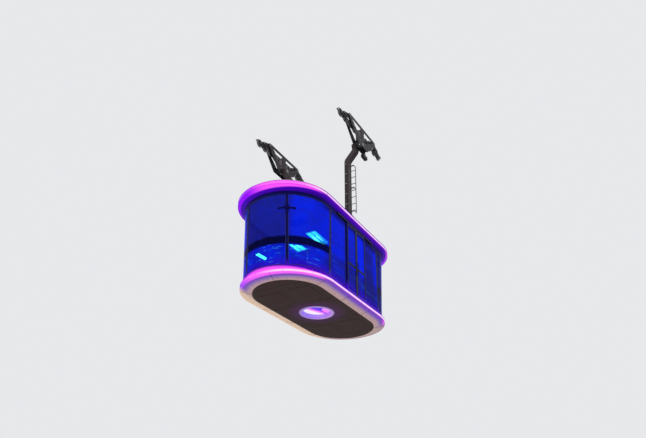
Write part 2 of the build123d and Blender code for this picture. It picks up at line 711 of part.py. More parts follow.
# Roof hatch: a duct through the roof, closed by a hinged lid
with BuildPart() as hatch_coaming:
    duct_height = COAMING_TOP_Z - CEILING_Z
    with Locations((HATCH_X, 0, CEILING_Z + duct_height / 2)):
        Box(HATCH_LENGTH, HATCH_WIDTH, duct_height)
        Box(
            HATCH_LENGTH - 2 * COAMING_WALL,
            HATCH_WIDTH - 2 * COAMING_WALL,
            duct_height,
            mode=Mode.SUBTRACT,
        )
    lug_height = HINGE_Z + HINGE_PIN_DIAMETER - ROOF_TOP_Z
    foot_length = HINGE_OFFSET + HINGE_PIN_DIAMETER
    foot_x = HATCH_X - HATCH_LENGTH / 2 - foot_length / 2
    for lug_y in (-LUG_Y, LUG_Y):
        with Locations((HINGE_X, lug_y, ROOF_TOP_Z + lug_height / 2)):
            Box(2 * HINGE_PIN_DIAMETER, LUG_WIDTH, lug_height)
        with Locations((foot_x, lug_y, ROOF_TOP_Z + HINGE_FOOT / 2)):
            Box(foot_length, LUG_WIDTH, HINGE_FOOT)
    across_pin(HINGE_X, 0, HINGE_Z, HINGE_PIN_DIAMETER + 2 * RUNNING_PLAY, 3 * LUG_Y, Mode.SUBTRACT)
save(hatch_coaming, "hatch_coaming")

with BuildPart() as hatch_lid:
    with Locations((HATCH_X + LID_OVERHANG / 2, 0, COAMING_TOP_Z + CURVE_GAP + LID_THICKNESS / 2)):
        Box(HATCH_LENGTH + LID_OVERHANG, HATCH_WIDTH + 2 * LID_OVERHANG, LID_THICKNESS)
    arm = HINGE_OFFSET + LID_OVERHANG
    arm_y = LUG_Y - LUG_WIDTH
    with Locations((HINGE_X + arm / 2, arm_y, HINGE_Z), (HINGE_X + arm / 2, -arm_y, HINGE_Z)):
        Box(arm, LUG_WIDTH / 2, LID_THICKNESS / 2)
    across_pin(HINGE_X, 0, HINGE_Z, HINGE_PIN_DIAMETER, 2 * LUG_Y + LUG_WIDTH + 2 * PIN_CAP)
save(hatch_lid, "hatch_lid")


# Wall

glass_height = GLASS_TOP_Z - SILL_TOP_Z
glass_middle = (SILL_TOP_Z + GLASS_TOP_Z) / 2
posts = post_blocks(SILL_TOP_Z, GLASS_TOP_Z)

with BuildPart() as wall_frieze:
    wall_ring(GLASS_TOP_Z, CEILING_Z, WALL_RADIUS, WALL_INSIDE)
save(wall_frieze, "wall_frieze")

with BuildPart() as cabin_posts:
    wall_ring(SILL_TOP_Z, GLASS_TOP_Z, WALL_RADIUS, WALL_INSIDE)
    add(posts, mode=Mode.INTERSECT)
save(cabin_posts, "cabin_posts")

with BuildPart() as glass_band:
    glass_outside = WALL_RADIUS - GLASS_INSET
    wall_ring(SILL_TOP_Z, GLASS_TOP_Z, glass_outside, glass_outside - GLASS_THICKNESS)
    add(posts, mode=Mode.SUBTRACT)
    with Locations((0, 0, glass_middle)):
        Box(DOOR_OPENING, 3 * WALL_RADIUS, glass_height, mode=Mode.SUBTRACT)

for end_name, end in ENDS:
    with BuildPart() as end_windows:
        add(glass_band.part)
        with Locations((end * (CORNER_POST_X + 2 * WALL_RADIUS), 0, glass_middle)):
            Box(4 * WALL_RADIUS, 3 * WALL_RADIUS, 2 * glass_height, mode=Mode.INTERSECT)
    save(end_windows, f"end_windows_{end_name}")

for side_name, side in SIDES:
    with BuildPart() as side_windows:
        add(glass_band.part)
        with Locations((0, side * WALL_RADIUS, glass_middle)):
            Box(2 * CORNER_POST_X, WALL_RADIUS, 2 * glass_height, mode=Mode.INTERSECT)
    save(side_windows, f"side_windows_{side_name}")

with BuildPart() as sill_ring:
    wall_ring(DECK_Z, SILL_TOP_Z, WALL_RADIUS, WALL_INSIDE)
    with Locations((0, 0, (DECK_Z + SILL_TOP_Z) / 2)):
        Box(DOOR_OPENING, 3 * WALL_RADIUS, SILL_TOP_Z - DECK_Z, mode=Mode.SUBTRACT)
    upright(FLANGE_BOTTOM_Z, DECK_Z, STRAIGHT_HALF, FLANGE_RADIUS)
    upright(FLANGE_BOTTOM_Z, DECK_Z, STRAIGHT_HALF, WALL_RADIUS - DECK_LEDGE, Mode.SUBTRACT)
    guide_z = DECK_Z + GUIDE_HEIGHT / 2
    with Locations((0, LEAF_Y, guide_z), (0, -LEAF_Y, guide_z)):
        Box(2 * HEADER_HALF, GUIDE_WIDTH, GUIDE_HEIGHT)
save(sill_ring, "sill_ring")

with BuildPart() as floor_light_strip:
    strip_top = FLANGE_BOTTOM_Z + LIGHT_HEIGHT
    upright(FLANGE_BOTTOM_Z, strip_top, STRAIGHT_HALF, FLOOR_LIGHT_RADIUS)
    upright(FLANGE_BOTTOM_Z, strip_top, STRAIGHT_HALF, FLANGE_RADIUS + CURVE_GAP, Mode.SUBTRACT)
save(floor_light_strip, "floor_light_strip")


# Floor and underside

with BuildPart() as floor_deck:
    upright(DECK_BOTTOM_Z, DECK_Z, STRAIGHT_HALF, WALL_RADIUS - DECK_LEDGE - CURVE_GAP)
    with Locations((0, 0, DECK_Z)):
        Cylinder(PORTHOLE_WELL, 4 * DECK_THICKNESS, mode=Mode.SUBTRACT)
save(floor_deck, "floor_deck")

with BuildPart() as floor_window:
    with Locations((0, 0, DECK_Z - FLOOR_WINDOW_THICKNESS / 2)):
        Cylinder(PORTHOLE_WELL - CURVE_GAP, FLOOR_WINDOW_THICKNESS)
save(floor_window, "floor_window")

with BuildPart() as skirt:
    skirt_top = FLOOR_LIGHT_RADIUS - SKIRT_TOP_INSET
    skirt_outline = [
        (SKIRT_BOTTOM_RADIUS, SKIRT_BOTTOM_Z),
        (skirt_top, FLANGE_BOTTOM_Z),
        (skirt_top - SKIRT_WALL, FLANGE_BOTTOM_Z),
        (SKIRT_BOTTOM_RADIUS - SKIRT_WALL, SKIRT_BOTTOM_Z),
    ]
    add(carried_round(skirt_outline, STRAIGHT_HALF))
save(skirt, "skirt")

with BuildPart() as underside_pan:
    upright(PAN_BOTTOM_Z, SKIRT_BOTTOM_Z, STRAIGHT_HALF, PAN_RADIUS)
    with Locations((0, 0, SKIRT_BOTTOM_Z)):
        Cylinder(PORTHOLE_WELL + CURVE_GAP, 4 * PAN_THICKNESS, mode=Mode.SUBTRACT)
save(underside_pan, "underside_pan")

with BuildPart() as porthole_ring:
    well_height = DECK_BOTTOM_Z - PAN_BOTTOM_Z
    with Locations((0, 0, PAN_BOTTOM_Z - PORTHOLE_FLANGE / 2)):
        Cylinder(PORTHOLE_RADIUS, PORTHOLE_FLANGE)
    chamfer(porthole_ring.edges().sort_by(Axis.Z)[0], PORTHOLE_CHAMFER)
    with Locations((0, 0, PAN_BOTTOM_Z + well_height / 2)):
        Cylinder(PORTHOLE_WELL, well_height)
    with Locations((0, 0, PAN_BOTTOM_Z)):
        Cylinder(PORTHOLE_WELL - PORTHOLE_WALL, 4 * well_height, mode=Mode.SUBTRACT)
save(porthole_ring, "porthole_ring")

with BuildPart() as porthole_glass:
    with Locations((0, 0, PAN_BOTTOM_Z)):
        Cylinder(PORTHOLE_WELL - PORTHOLE_WALL - CURVE_GAP, PAN_THICKNESS)
save(porthole_glass, "porthole_glass")


# Inside fittings

with BuildPart() as end_rails:
    band_outside = WALL_INSIDE - CURVE_GAP
    wall_ring(RAIL_BAND_BOTTOM_Z, RAIL_BAND_TOP_Z, band_outside, band_outside - RAIL_BAND_DEPTH)
    with Locations((0, 0, (RAIL_BAND_BOTTOM_Z + RAIL_BAND_TOP_Z) / 2)):
        Box(2 * RAIL_BAND_START, 3 * WALL_RADIUS, 2 * WALL_RADIUS, mode=Mode.SUBTRACT)
save(end_rails, "end_rails")

with BuildPart() as hand_rails:
    stem_end = HAND_RAIL_HALF - HAND_RAIL_END
    for y in (-HAND_RAIL_Y, HAND_RAIL_Y):
        with Locations(Location((0, y, HAND_RAIL_Z), (0, 90, 0))):
            Cylinder(HAND_RAIL_DIAMETER / 2, 2 * HAND_RAIL_HALF)
        for x in (-stem_end, -HAND_RAIL_STEM_X, HAND_RAIL_STEM_X, stem_end):
            with Locations((x, y, (HAND_RAIL_Z + CEILING_Z) / 2)):
                Cylinder(HAND_RAIL_STEM / 2, CEILING_Z - HAND_RAIL_Z)
save(hand_rails, "hand_rails")


with BuildPart() as control_desk:
    desk_front_y = DESK_BACK_Y - DESK_DEPTH
    nose_y = desk_front_y - DESK_NOSE
    with BuildSketch(Plane.YZ.offset(DESK_X)):
        Polygon(
            (DESK_BACK_Y, DECK_Z),
            (desk_front_y, DECK_Z),
            (desk_front_y, DESK_NECK_Z),
            (nose_y, DESK_SHELF_Z),
            (nose_y, DESK_SHELF_Z + DESK_NOSE_HEIGHT),
            (DESK_BACK_Y - DESK_TOP_DEPTH, DESK_TOP_Z),
            (DESK_BACK_Y, DESK_TOP_Z),
            align=None,
        )
    extrude(amount=DESK_WIDTH / 2, both=True)
save(control_desk, "control_desk")

# Sliding doors

with BuildPart() as door_headers:
    header_middle = (HEADER_TOP_Z + HEADER_BOTTOM_Z) / 2
    for _, side in SIDES:
        with BuildSketch(Plane.YZ):
            with Locations((side * (WALL_RADIUS + HEADER_DEPTH / 2), header_middle)):
                Rectangle(HEADER_DEPTH, HEADER_HEIGHT)
            with Locations((side * LEAF_Y, header_middle)):
                Rectangle(HEADER_SLOT_WIDTH, HEADER_HEIGHT - 2 * HEADER_WALL, mode=Mode.SUBTRACT)
            with Locations((side * LEAF_Y, HEADER_BOTTOM_Z)):
                Rectangle(HEADER_MOUTH, 3 * HEADER_WALL, mode=Mode.SUBTRACT)
        extrude(amount=HEADER_HALF, both=True)
save(door_headers, "door_headers")

# columns: lowest and highest point of each pane of a leaf
PANES = (
    (LEAF_BOTTOM_Z + BOTTOM_RAIL, BELT_Z - BELT_HEIGHT / 2),
    (BELT_Z + BELT_HEIGHT / 2, LEAF_TOP_Z - TOP_RAIL),
)


def pane_outlines(x, mode=Mode.ADD):
    """The two panes of a leaf, one above its belt and one below."""
    for low, high in PANES:
        with Locations((x, (low + high) / 2)):
            Rectangle(LEAF_WIDTH - 2 * STILE_WIDTH, high - low, mode=mode)


for side_name, side in SIDES:
    for end_name, end in ENDS:
        leaf_x = end * (LEAF_GAP / 2 + LEAF_WIDTH / 2)
        leaf_y = side * LEAF_Y
        face = Plane.XZ.offset(-leaf_y)
        with BuildPart() as leaf:
            with BuildSketch(face):
                with Locations((leaf_x, (LEAF_BOTTOM_Z + LEAF_TOP_Z) / 2)):
                    Rectangle(LEAF_WIDTH, LEAF_TOP_Z - LEAF_BOTTOM_Z)
                pane_outlines(leaf_x, Mode.SUBTRACT)
            extrude(amount=LEAF_THICKNESS / 2, both=True)
            slot_height = DECK_Z + GUIDE_HEIGHT + GUIDE_HEADROOM - LEAF_BOTTOM_Z
            with Locations((leaf_x, leaf_y, LEAF_BOTTOM_Z)):
                Box(2 * LEAF_WIDTH, GUIDE_WIDTH + 2 * LEAF_CLEARANCE, 2 * slot_height, mode=Mode.SUBTRACT)
            runner_low = HEADER_BOTTOM_Z + HEADER_WALL + CURVE_GAP
            for x in (leaf_x - RUNNER_X, leaf_x + RUNNER_X):
                with Locations((x, leaf_y, (LEAF_TOP_Z + runner_low) / 2)):
                    Box(RUNNER_LENGTH, RUNNER_STEM, runner_low - LEAF_TOP_Z)
                with Locations((x, leaf_y, runner_low + RUNNER_WIDTH / 2)):
                    Box(RUNNER_LENGTH, RUNNER_WIDTH, RUNNER_WIDTH)
        save(leaf, f"door_leaf_{side_name}_{end_name}")
        with BuildPart() as leaf_glass:
            with BuildSketch(face):
                pane_outlines(leaf_x)
            extrude(amount=GLASS_THICKNESS / 2, both=True)
        save(leaf_glass, f"door_glass_{side_name}_{end_name}")
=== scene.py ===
# %% [markdown]
# A tramway cabin with light bands, hung from two roller carriages.
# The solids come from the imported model, already at their real size and place.
# This script gives them their finishes, adds the small trim that the solids
# leave out, and sets up a plain studio round them.

# %% The frame
import json
import math

import bpy
from mathutils import Matrix, Vector


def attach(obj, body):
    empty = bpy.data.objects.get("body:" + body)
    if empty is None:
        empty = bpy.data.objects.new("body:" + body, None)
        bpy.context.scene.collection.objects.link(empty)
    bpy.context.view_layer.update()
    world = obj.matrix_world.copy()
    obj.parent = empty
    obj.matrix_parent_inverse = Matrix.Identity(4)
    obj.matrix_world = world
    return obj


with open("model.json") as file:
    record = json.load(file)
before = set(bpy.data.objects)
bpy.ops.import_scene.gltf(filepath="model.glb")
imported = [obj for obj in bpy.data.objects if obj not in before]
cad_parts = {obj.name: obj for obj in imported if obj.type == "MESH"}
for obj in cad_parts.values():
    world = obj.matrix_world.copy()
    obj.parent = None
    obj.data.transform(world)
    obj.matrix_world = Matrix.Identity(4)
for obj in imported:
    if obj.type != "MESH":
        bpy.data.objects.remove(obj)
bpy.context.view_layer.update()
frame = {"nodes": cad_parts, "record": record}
nodes = frame["nodes"]

# %% [markdown]
# The camera stands just above the ground and looks up at the cabin from behind
# and to its right. Its place was solved from the two light rings and the posts,
# so it is written down as a place, two axes and a focal length in pixels. The
# image is 646 pixels wide, and the sensor is 36 mm wide.

# %% The camera
IMAGE_WIDTH = 646
FOCAL_PIXELS = 564.57
SENSOR_WIDTH = 36.0
FURTHEST_SEEN = 200.0
CAMERA_PLACE = Vector((-14.4506, -8.8746, -12.9980))
CAMERA_RIGHT = Vector((0.50951, -0.86040, 0.01071))
CAMERA_UP = Vector((-0.44609, -0.25349, 0.85834))


def placed(name, data):
    """A new object in the scene."""
    made = bpy.data.objects.new(name, data)
    bpy.context.scene.collection.objects.link(made)
    return made


camera_data = bpy.data.cameras.new("ground_camera")
camera_data.sensor_fit = "HORIZONTAL"
camera_data.sensor_width = SENSOR_WIDTH
camera_data.lens = FOCAL_PIXELS * SENSOR_WIDTH / IMAGE_WIDTH
camera_data.clip_end = FURTHEST_SEEN
axes = Matrix((CAMERA_RIGHT, CAMERA_UP, CAMERA_RIGHT.cross(CAMERA_UP))).transposed()
camera = placed("ground_camera", camera_data)
camera.matrix_world = Matrix.Translation(CAMERA_PLACE) @ axes.to_4x4()
bpy.context.scene.camera = camera
print("lens:", round(camera_data.lens, 2), "mm")

# %% [markdown]
# Materials, the world and Geometry Nodes are all graphs of nodes. Written out
# node by node they are long and hard to read, so two classes shorten them.
# Graph adds any node by one method, with its settings and with what feeds its
# sockets. Wire wraps one output, so that a sum on it reads as a sum.

# %% Wires and graphs
class Wire:
    """One output of a node. An operator on it adds a Math node."""

    def __init__(self, graph, socket):
        self.graph = graph
        self.socket = socket

    def maths(self, operation, *values):
        return self.graph.node("ShaderNodeMath", {"operation": operation}, enumerate(values))

    def __add__(self, other):
        return self.maths("ADD", self, other)

    def __sub__(self, other):
        return self.maths("SUBTRACT", self, other)

    def __rsub__(self, other):
        return self.maths("SUBTRACT", other, self)

    def __mul__(self, other):
        return self.maths("MULTIPLY", self, other)

    def __truediv__(self, other):
        return self.maths("DIVIDE", self, other)

    def __pow__(self, other):
        return self.maths("POWER", self, other)

    def __mod__(self, other):
        return self.maths("FLOORED_MODULO", self, other)

    def __abs__(self):
        return self.maths("ABSOLUTE", self)

    __radd__ = __add__
    __rmul__ = __mul__

    def least(self, other):
        return self.maths("MINIMUM", self, other)

    def most(self, other):
        return self.maths("MAXIMUM", self, other)

    def wave(self, pitch):
        """A sine that repeats once in each pitch."""
        return self.maths("SINE", self * (2 * math.pi / pitch))

    def reach(self, other):
        """The distance that this and the other make at right angles."""
        return (self * self + other * other) ** 0.5

    def step(self, low, high):
        """0 at low and 1 at high, softly between them. High may be the smaller."""
        sockets = {"Value": self, "From Min": low, "From Max": high}
        return self.graph.node("ShaderNodeMapRange", {"interpolation_type": "SMOOTHSTEP"}, sockets)


class Graph:
    """A tree of nodes, and one method for every kind of node."""

    def __init__(self, tree):
        self.tree = tree

    def node(self, kind, settings=(), sockets=(), output=0):
        made = self.tree.nodes.new(kind)
        for name, value in dict(settings).items():
            setattr(made, name, value)
        for key, value in dict(sockets).items():
            self.feed(made.inputs[key], value)
        return Wire(self, made.outputs[output])

    def feed(self, socket, value):
        if isinstance(value, Wire):
            self.tree.links.new(value.socket, socket)
        else:
            socket.default_value = value


# %% [markdown]
# A finish is the graph of one material. Every finish starts from the same few
# things: where a point lies on the object, how much its surface looks up, and
# one Principled shader. Patterns read object coordinates, in metres, so they
# stay on the metal when a body moves. Each finish is kept under its slot's name.

# %% Finishes
finishes = {}


class Finish(Graph):
    """The graph of a material, round its Principled shader."""

    def __init__(self, slot, roughness=0.5, metallic=0.0):
        self.material = bpy.data.materials.new(slot)
        self.material.use_nodes = True
        super().__init__(self.material.node_tree)
        self.shader = self.tree.nodes["Principled BSDF"]
        self.surface({"Roughness": roughness, "Metallic": metallic})
        self.place = self.node("ShaderNodeTexCoord", output="Object")
        facing = self.node("ShaderNodeTexCoord", output="Normal")
        self.x, self.y, self.z = (
            self.node("ShaderNodeSeparateXYZ", (), {0: self.place}, axis) for axis in range(3)
        )
        self.up = self.node("ShaderNodeSeparateXYZ", (), {0: facing}, 2)
        finishes[slot] = self

    def surface(self, values):
        for name, value in values.items():
            self.feed(self.shader.inputs[name], value)

    def blend(self, share, first, second):
        """From the first colour to the second as share goes from 0 to 1."""
        return self.node("ShaderNodeMix", {"data_type": "RGBA"}, {0: share, 6: first, 7: second}, 2)

    def noise(self, scale, detail=2.0, stretch=(1.0, 1.0, 1.0)):
        """Clouds from 0 to 1, scale of them to a metre, times stretch on each axis."""
        place = self.node("ShaderNodeVectorMath", {"operation": "MULTIPLY"}, {0: self.place, 1: stretch})
        return self.node("ShaderNodeTexNoise", (), {"Vector": place, "Scale": scale, "Detail": detail})

    def bump(self, height, distance):
        self.surface({"Normal": self.node("ShaderNodeBump", (), {"Height": height, "Distance": distance})})


def colour(red, green, blue):
    """The linear colour that shows as these three values of 0 to 255."""
    parts = [value / 255 for value in (red, green, blue)]
    return tuple(p / 12.92 if p <= 0.04045 else ((p + 0.055) / 1.055) ** 2.4 for p in parts) + (1.0,)


print("mid grey is", colour(128, 128, 128))

# %% [markdown]
# The studio is a wide pale floor and a pale backdrop. The backdrop shows as
# near white to the camera, through glass and in reflections, but lights the
# object only gently, so that colours come out about as they are written. Three
# large soft lamps add shape.

# %% The studio
BACKDROP_COLOUR = (0.80, 0.81, 0.83, 1.0)
BACKDROP_LIGHT = 0.55
FLOOR_COLOUR = (0.74, 0.74, 0.75, 1.0)
FLOOR_ROUGHNESS = 0.8
FLOOR_REACH = 45.0
CAMERA_ABOVE_FLOOR = 0.05
FLOOR_Z = CAMERA_PLACE.z - CAMERA_ABOVE_FLOOR
LAMP_AIM = Vector((0.0, 0.0, -4.5))
# columns: name, place, size in metres, power in watts
LAMPS = (
    ("key_lamp", (-14.0, -16.0, 4.0), 9.0, 1500.0),
    ("fill_lamp", (-26.0, 13.0, 0.0), 14.0, 1700.0),
    ("back_lamp", (16.0, 10.0, 6.0), 9.0, 900.0),
)

world = bpy.data.worlds.new("studio")
world.use_nodes = True
world.node_tree.nodes.clear()
bpy.context.scene.world = world
backdrop = Graph(world.node_tree)
camera_ray, glass_ray, mirror_ray = (
    backdrop.node("ShaderNodeLightPath", output=f"Is {kind} Ray")
    for kind in ("Camera", "Transmission", "Glossy")
)
lighting, seen = (
    backdrop.node("ShaderNodeBackground", (), {"Color": BACKDROP_COLOUR, "Strength": strength})
    for strength in (BACKDROP_LIGHT, 1.0)
)
shows = camera_ray.most(glass_ray).most(mirror_ray)
mixed = backdrop.node("ShaderNodeMixShader", (), {0: shows, 1: lighting, 2: seen})
backdrop.feed(backdrop.tree.nodes.new("ShaderNodeOutputWorld").inputs["Surface"], mixed)

floor_mesh = bpy.data.meshes.new("floor")
corners = [(x * FLOOR_REACH, y * FLOOR_REACH, FLOOR_Z) for x, y in ((-1, -1), (1, -1), (1, 1), (-1, 1))]
floor_mesh.from_pydata(corners, [], [(0, 1, 2, 3)])
floor_paint = Finish("floor_paint", FLOOR_ROUGHNESS)
floor_paint.surface({"Base Color": FLOOR_COLOUR})
floor_mesh.materials.append(floor_paint.material)
placed("floor", floor_mesh)

for name, place, size, power in LAMPS:
    light = bpy.data.lights.new(name, "AREA")
    light.size, light.energy = size, power
    lamp = placed(name, light)
    aim = LAMP_AIM - Vector(place)
    lamp.matrix_world = Matrix.Translation(place) @ aim.to_track_quat("-Z", "Y").to_matrix().to_4x4()
    lamp.visible_glossy = False

bpy.context.scene.view_settings.view_transform = "Standard"
print("lamps:", len(LAMPS), "view transform:", bpy.context.scene.view_settings.view_transform)

# %% [markdown]
# Painted steel and aluminium. Real paint isn't one flat colour: it has a fine
# orange peel, cloudy patches where it has weathered, dust on whatever looks up,
# streaks that rain draws down the sides, and chips that show the primer. One
# loop makes all of these from a few colours, because they are the same paint in
# other shades. What later cells need of a finish is kept on it.

# %% Painted metal
# columns: slot, paint, dust, chip, roughness, share of chips
PAINTS = (
    ("bogie_paint", (30, 25, 29), (66, 58, 56), (104, 72, 58), 0.55, 0.30),
    ("beam_paint", (40, 34, 38), (74, 66, 64), (108, 74, 58), 0.50, 0.22),
    ("brake_paint", (106, 98, 104), (124, 114, 110), (112, 84, 70), 0.50, 0.20),
    ("hanger_paint", (56, 46, 48), (84, 75, 74), (104, 82, 70), 0.46, 0.14),
    ("roof_paint", (164, 164, 172), (124, 120, 116), (120, 120, 124), 0.38, 0.08),
    ("hatch_metal", (116, 116, 124), (110, 104, 100), (96, 92, 92), 0.40, 0.12),
    ("rim_paint", (18, 8, 84), (28, 18, 96), (50, 40, 110), 0.55, 0.05),
    ("wall_paint", (12, 12, 58), (26, 26, 76), (60, 60, 84), 0.45, 0.05),
    ("door_paint", (12, 15, 64), (28, 30, 82), (70, 70, 96), 0.40, 0.08),
    ("header_metal", (36, 32, 72), (54, 50, 86), (84, 84, 104), 0.42, 0.10),
    ("sill_paint", (20, 6, 100), (30, 18, 110), (50, 40, 120), 0.55, 0.06),
    ("skirt_paint", (236, 206, 196), (200, 168, 156), (146, 122, 112), 0.50, 0.10),
    ("pan_paint", (66, 41, 37), (88, 64, 58), (104, 82, 68), 0.66, 0.20),
    ("porthole_paint", (196, 176, 222), (150, 128, 170), (120, 100, 130), 0.34, 0.06),
    ("desk_paint", (16, 18, 44), (34, 34, 60), (70, 70, 90), 0.40, 0.05),
)
CLOUDS, SPECKLE, PEEL = 1.7, 38.0, 240.0
STREAKS = (16.0, 16.0, 1.1)
for slot, paint, dust, chip, roughness, chips in PAINTS:
    finish = Finish(slot)
    clouds = finish.noise(CLOUDS, 4.0)
    speckle = finish.noise(SPECKLE, 3.0)
    streaks = finish.noise(1.0, 3.0, STREAKS)
    peel = finish.noise(PEEL)
    side = finish.up.step(0.7, 0.2) * finish.up.step(-0.7, -0.2)
    lying = finish.up.step(0.25, 0.95) * clouds.step(0.30, 0.62) * 0.7
    running = streaks.step(0.50, 0.74) * side * 0.45
    dusty = lying.most(running).most(clouds.step(0.48, 0.80) * 0.35)
    chipped = speckle.step(0.70 - 0.12 * chips, 0.74 - 0.12 * chips) * clouds.step(0.62, 0.40)
    shade = finish.blend(clouds, colour(*[value * 0.86 for value in paint]), colour(*paint))
    shade = finish.blend(dusty, shade, colour(*dust))
    shade = finish.blend(chipped * 0.8, shade, colour(*chip))
    finish.surface({
        "Base Color": shade,
        "Roughness": dusty * 0.3 + clouds * 0.12 + roughness - 0.05,
        "Specular IOR Level": 0.3,
    })
    finish.bump(peel * 0.35 - chipped + dusty * 0.3, 0.0006)
    finish.clouds, finish.shade = clouds, shade
print("painted finishes:", len(PAINTS))

# %% [markdown]
# A roller is cast, painted dark and then turned: its groove and rims are
# polished by the load, with fine turning marks, and its hub is greasy. Sixteen
# rollers share one material, which doesn't know their centres, but knows their
# pitch. So the distance along the carriage is folded on to one roller with a
# modulo, and the distance from the axle follows from it.

# %% Roller steel
ROLLER_START = 0.440
ROLLER_PITCH = 0.340
AXLE_Z = 0.150
TREAD = (0.112, 0.120)
GREASE = (0.062, 0.036)
TURNING_MARK = 0.0022

steel = Finish("roller_steel", metallic=0.9)
past_first = abs(steel.x) - (ROLLER_START - ROLLER_PITCH / 2)
folded = past_first % ROLLER_PITCH - ROLLER_PITCH / 2
radius = folded.reach(steel.z - AXLE_Z)
tread = radius.step(*TREAD)
grease = radius.step(*GREASE)
smears = steel.noise(22.0, 4.0)
dark = steel.blend(smears, colour(38, 35, 40), colour(58, 54, 60))
dark = steel.blend(grease * smears.step(0.3, 0.6), dark, colour(24, 18, 16))
bright = steel.blend(smears.step(0.35, 0.7), colour(150, 148, 150), colour(104, 98, 98))
steel.surface({
    "Base Color": steel.blend(tread, dark, bright),
    "Metallic": tread * 0.85 + 0.08,
    "Roughness": 0.62 - tread * 0.30 + smears * 0.12 - grease * 0.22,
})
steel.bump(radius.wave(TURNING_MARK) * tread * 0.3 + smears * 0.5, 0.0004)
print("rollers repeat every", ROLLER_PITCH, "m")

# %% [markdown]
# Pins, clamps and rails are bare metal, stained in patches. Pins and rails are
# also brushed one way, which is a noise stretched along that way. Galvanised
# ladders and toe boards have a spangle of flat grey crystals, which a Voronoi
# texture gives: each cell has one grey, and one roughness.

# %% Bare and galvanised metal
# columns: slot, clean metal, stain, roughness, fineness of the grain on each axis
BARE_METALS = (
    ("pin_steel", (150, 150, 156), (86, 76, 72), 0.30, (60.0, 3.0, 60.0)),
    ("clamp_steel", (72, 68, 72), (46, 38, 36), 0.42, (8.0, 8.0, 8.0)),
    ("rail_steel", (168, 172, 190), (112, 116, 150), 0.22, (2.0, 90.0, 90.0)),
)
for slot, clean, stain, roughness, fineness in BARE_METALS:
    metal = Finish(slot, metallic=0.92)
    brushed = metal.noise(6.0, 3.0, fineness)
    stained = metal.noise(9.0, 4.0).step(0.5, 0.8)
    shade = metal.blend(brushed, colour(*[value * 0.8 for value in clean]), colour(*clean))
    metal.surface({
        "Base Color": metal.blend(stained, shade, colour(*stain)),
        "Roughness": brushed * 0.16 + stained * 0.22 + roughness,
    })
    metal.bump(brushed, 0.0003)

spangled = Finish("walk_metal")
crystal = spangled.node("ShaderNodeTexVoronoi", (), {"Vector": spangled.place, "Scale": 70.0}, "Color")
crystal = spangled.node("ShaderNodeSeparateColor", (), {0: crystal})
white_rust = spangled.noise(5.0, 4.0).step(0.50, 0.72)
greys = spangled.blend(crystal, colour(112, 112, 116), colour(152, 152, 156))
spangled.surface({
    "Base Color": spangled.blend(white_rust * 0.6, greys, colour(176, 174, 168)),
    "Roughness": crystal * 0.18 + white_rust * 0.25 + 0.34,
    "Metallic": 0.75 - white_rust * 0.5,
})
spangled.bump(crystal, 0.0003)
print("bare metals:", len(BARE_METALS) + 1)

# %% [markdown]
# The two light bands are lit from inside. Their light is hot pink at the near
# end, deep violet along the sides, and turns violet towards the left side and
# the front. What lies beside a band catches its light, and at the round ends it
# falls much wider than along the sides. So two measures are needed of a point:
# its distance from the middle line of the plan, and how much it faces an end.

# %% The light of the bands
ROOF_HALF, ROOF_LIGHT_Z = 1.882, -3.500
FLOOR_HALF, FLOOR_LIGHT_Z = 1.533, -6.200
LOWER_PART = (-4.5, -5.0)
FAR_END = (2.0, 2.6)
HOT_PINK = colour(255, 84, 250)
VIOLET = colour(150, 10, 255)
DEEP_VIOLET = colour(66, 0, 170)
SIDE_VIOLET = colour(104, 0, 180)


def on_plan(finish, half):
    """How far a point is from the middle line of a round-ended plan, and how much it faces an end."""
    beyond = (abs(finish.x) - half).most(0.0)
    radius = beyond.reach(finish.y)
    return radius, beyond / radius.most(0.001)


def band_light(finish, along_side):
    """The share of violet in the light of a band, and the colour of that light."""
    later = finish.z.step(*LOWER_PART) * 0.50
    turned = (finish.y - later).step(-0.30, 0.60).most(finish.x.step(1.8, 3.1))
    return turned, finish.blend(along_side, finish.blend(turned, HOT_PINK, VIOLET), SIDE_VIOLET)


print("the bands are", round(ROOF_LIGHT_Z - FLOOR_LIGHT_Z, 3), "m apart")

# %% [markdown]
# The lens of a band is nearly white along its middle, where the lamps behind it
# are, and shows its colour towards the lips. Its faces that look down are
# duller. The two flat lamps in the well of the floor window have the same lens.
# The half moon there is white, and pink along its straight edge, so the finish
# measures the distance from that edge.

# %% The lenses
CORE = (0.046, 0.020)
WELL = (0.70, 0.63)
CHORD_X, CHORD_Y, CHORD_DISTANCE = 0.367, 0.930, 0.145

lens = Finish("light_strip", roughness=0.25)
cells = lens.noise(60.0, 2.0)
facing_end = on_plan(lens, ROOF_HALF)[1]
lower = lens.z.step(*LOWER_PART)
in_well = lens.x.reach(lens.y).step(*WELL)
turned, edge = band_light(lens, facing_end.step(0.45, 0.10) * (1 - in_well))
from_middle = abs(lens.z - ROOF_LIGHT_Z).least(abs(lens.z - FLOOR_LIGHT_Z))
on_roof_end = facing_end.step(0.2, 0.8) * (1 - lower)
core = from_middle.step(*CORE) * (1 - on_roof_end * 0.85)
core = core * (1 - lens.y.step(-0.7, 0.3) * 0.85) * (cells * 0.3 + 0.8)
past_chord = lens.x * CHORD_X + lens.y * CHORD_Y - CHORD_DISTANCE
core = core.most(in_well * past_chord.step(-0.03, 0.07))
pale = lens.blend(turned, colour(255, 214, 255), colour(176, 50, 255))
pale = lens.blend(in_well * past_chord.step(0.0, 0.10), pale, colour(255, 248, 255))
underneath = lens.blend(lens.y.step(0.9, 1.2) * lower, colour(110, 30, 180), colour(236, 198, 140))
underneath = lens.blend(lens.x.step(*FAR_END), underneath, colour(120, 96, 120))
from_below = lens.up.step(-0.5, -0.85) * (1 - in_well)
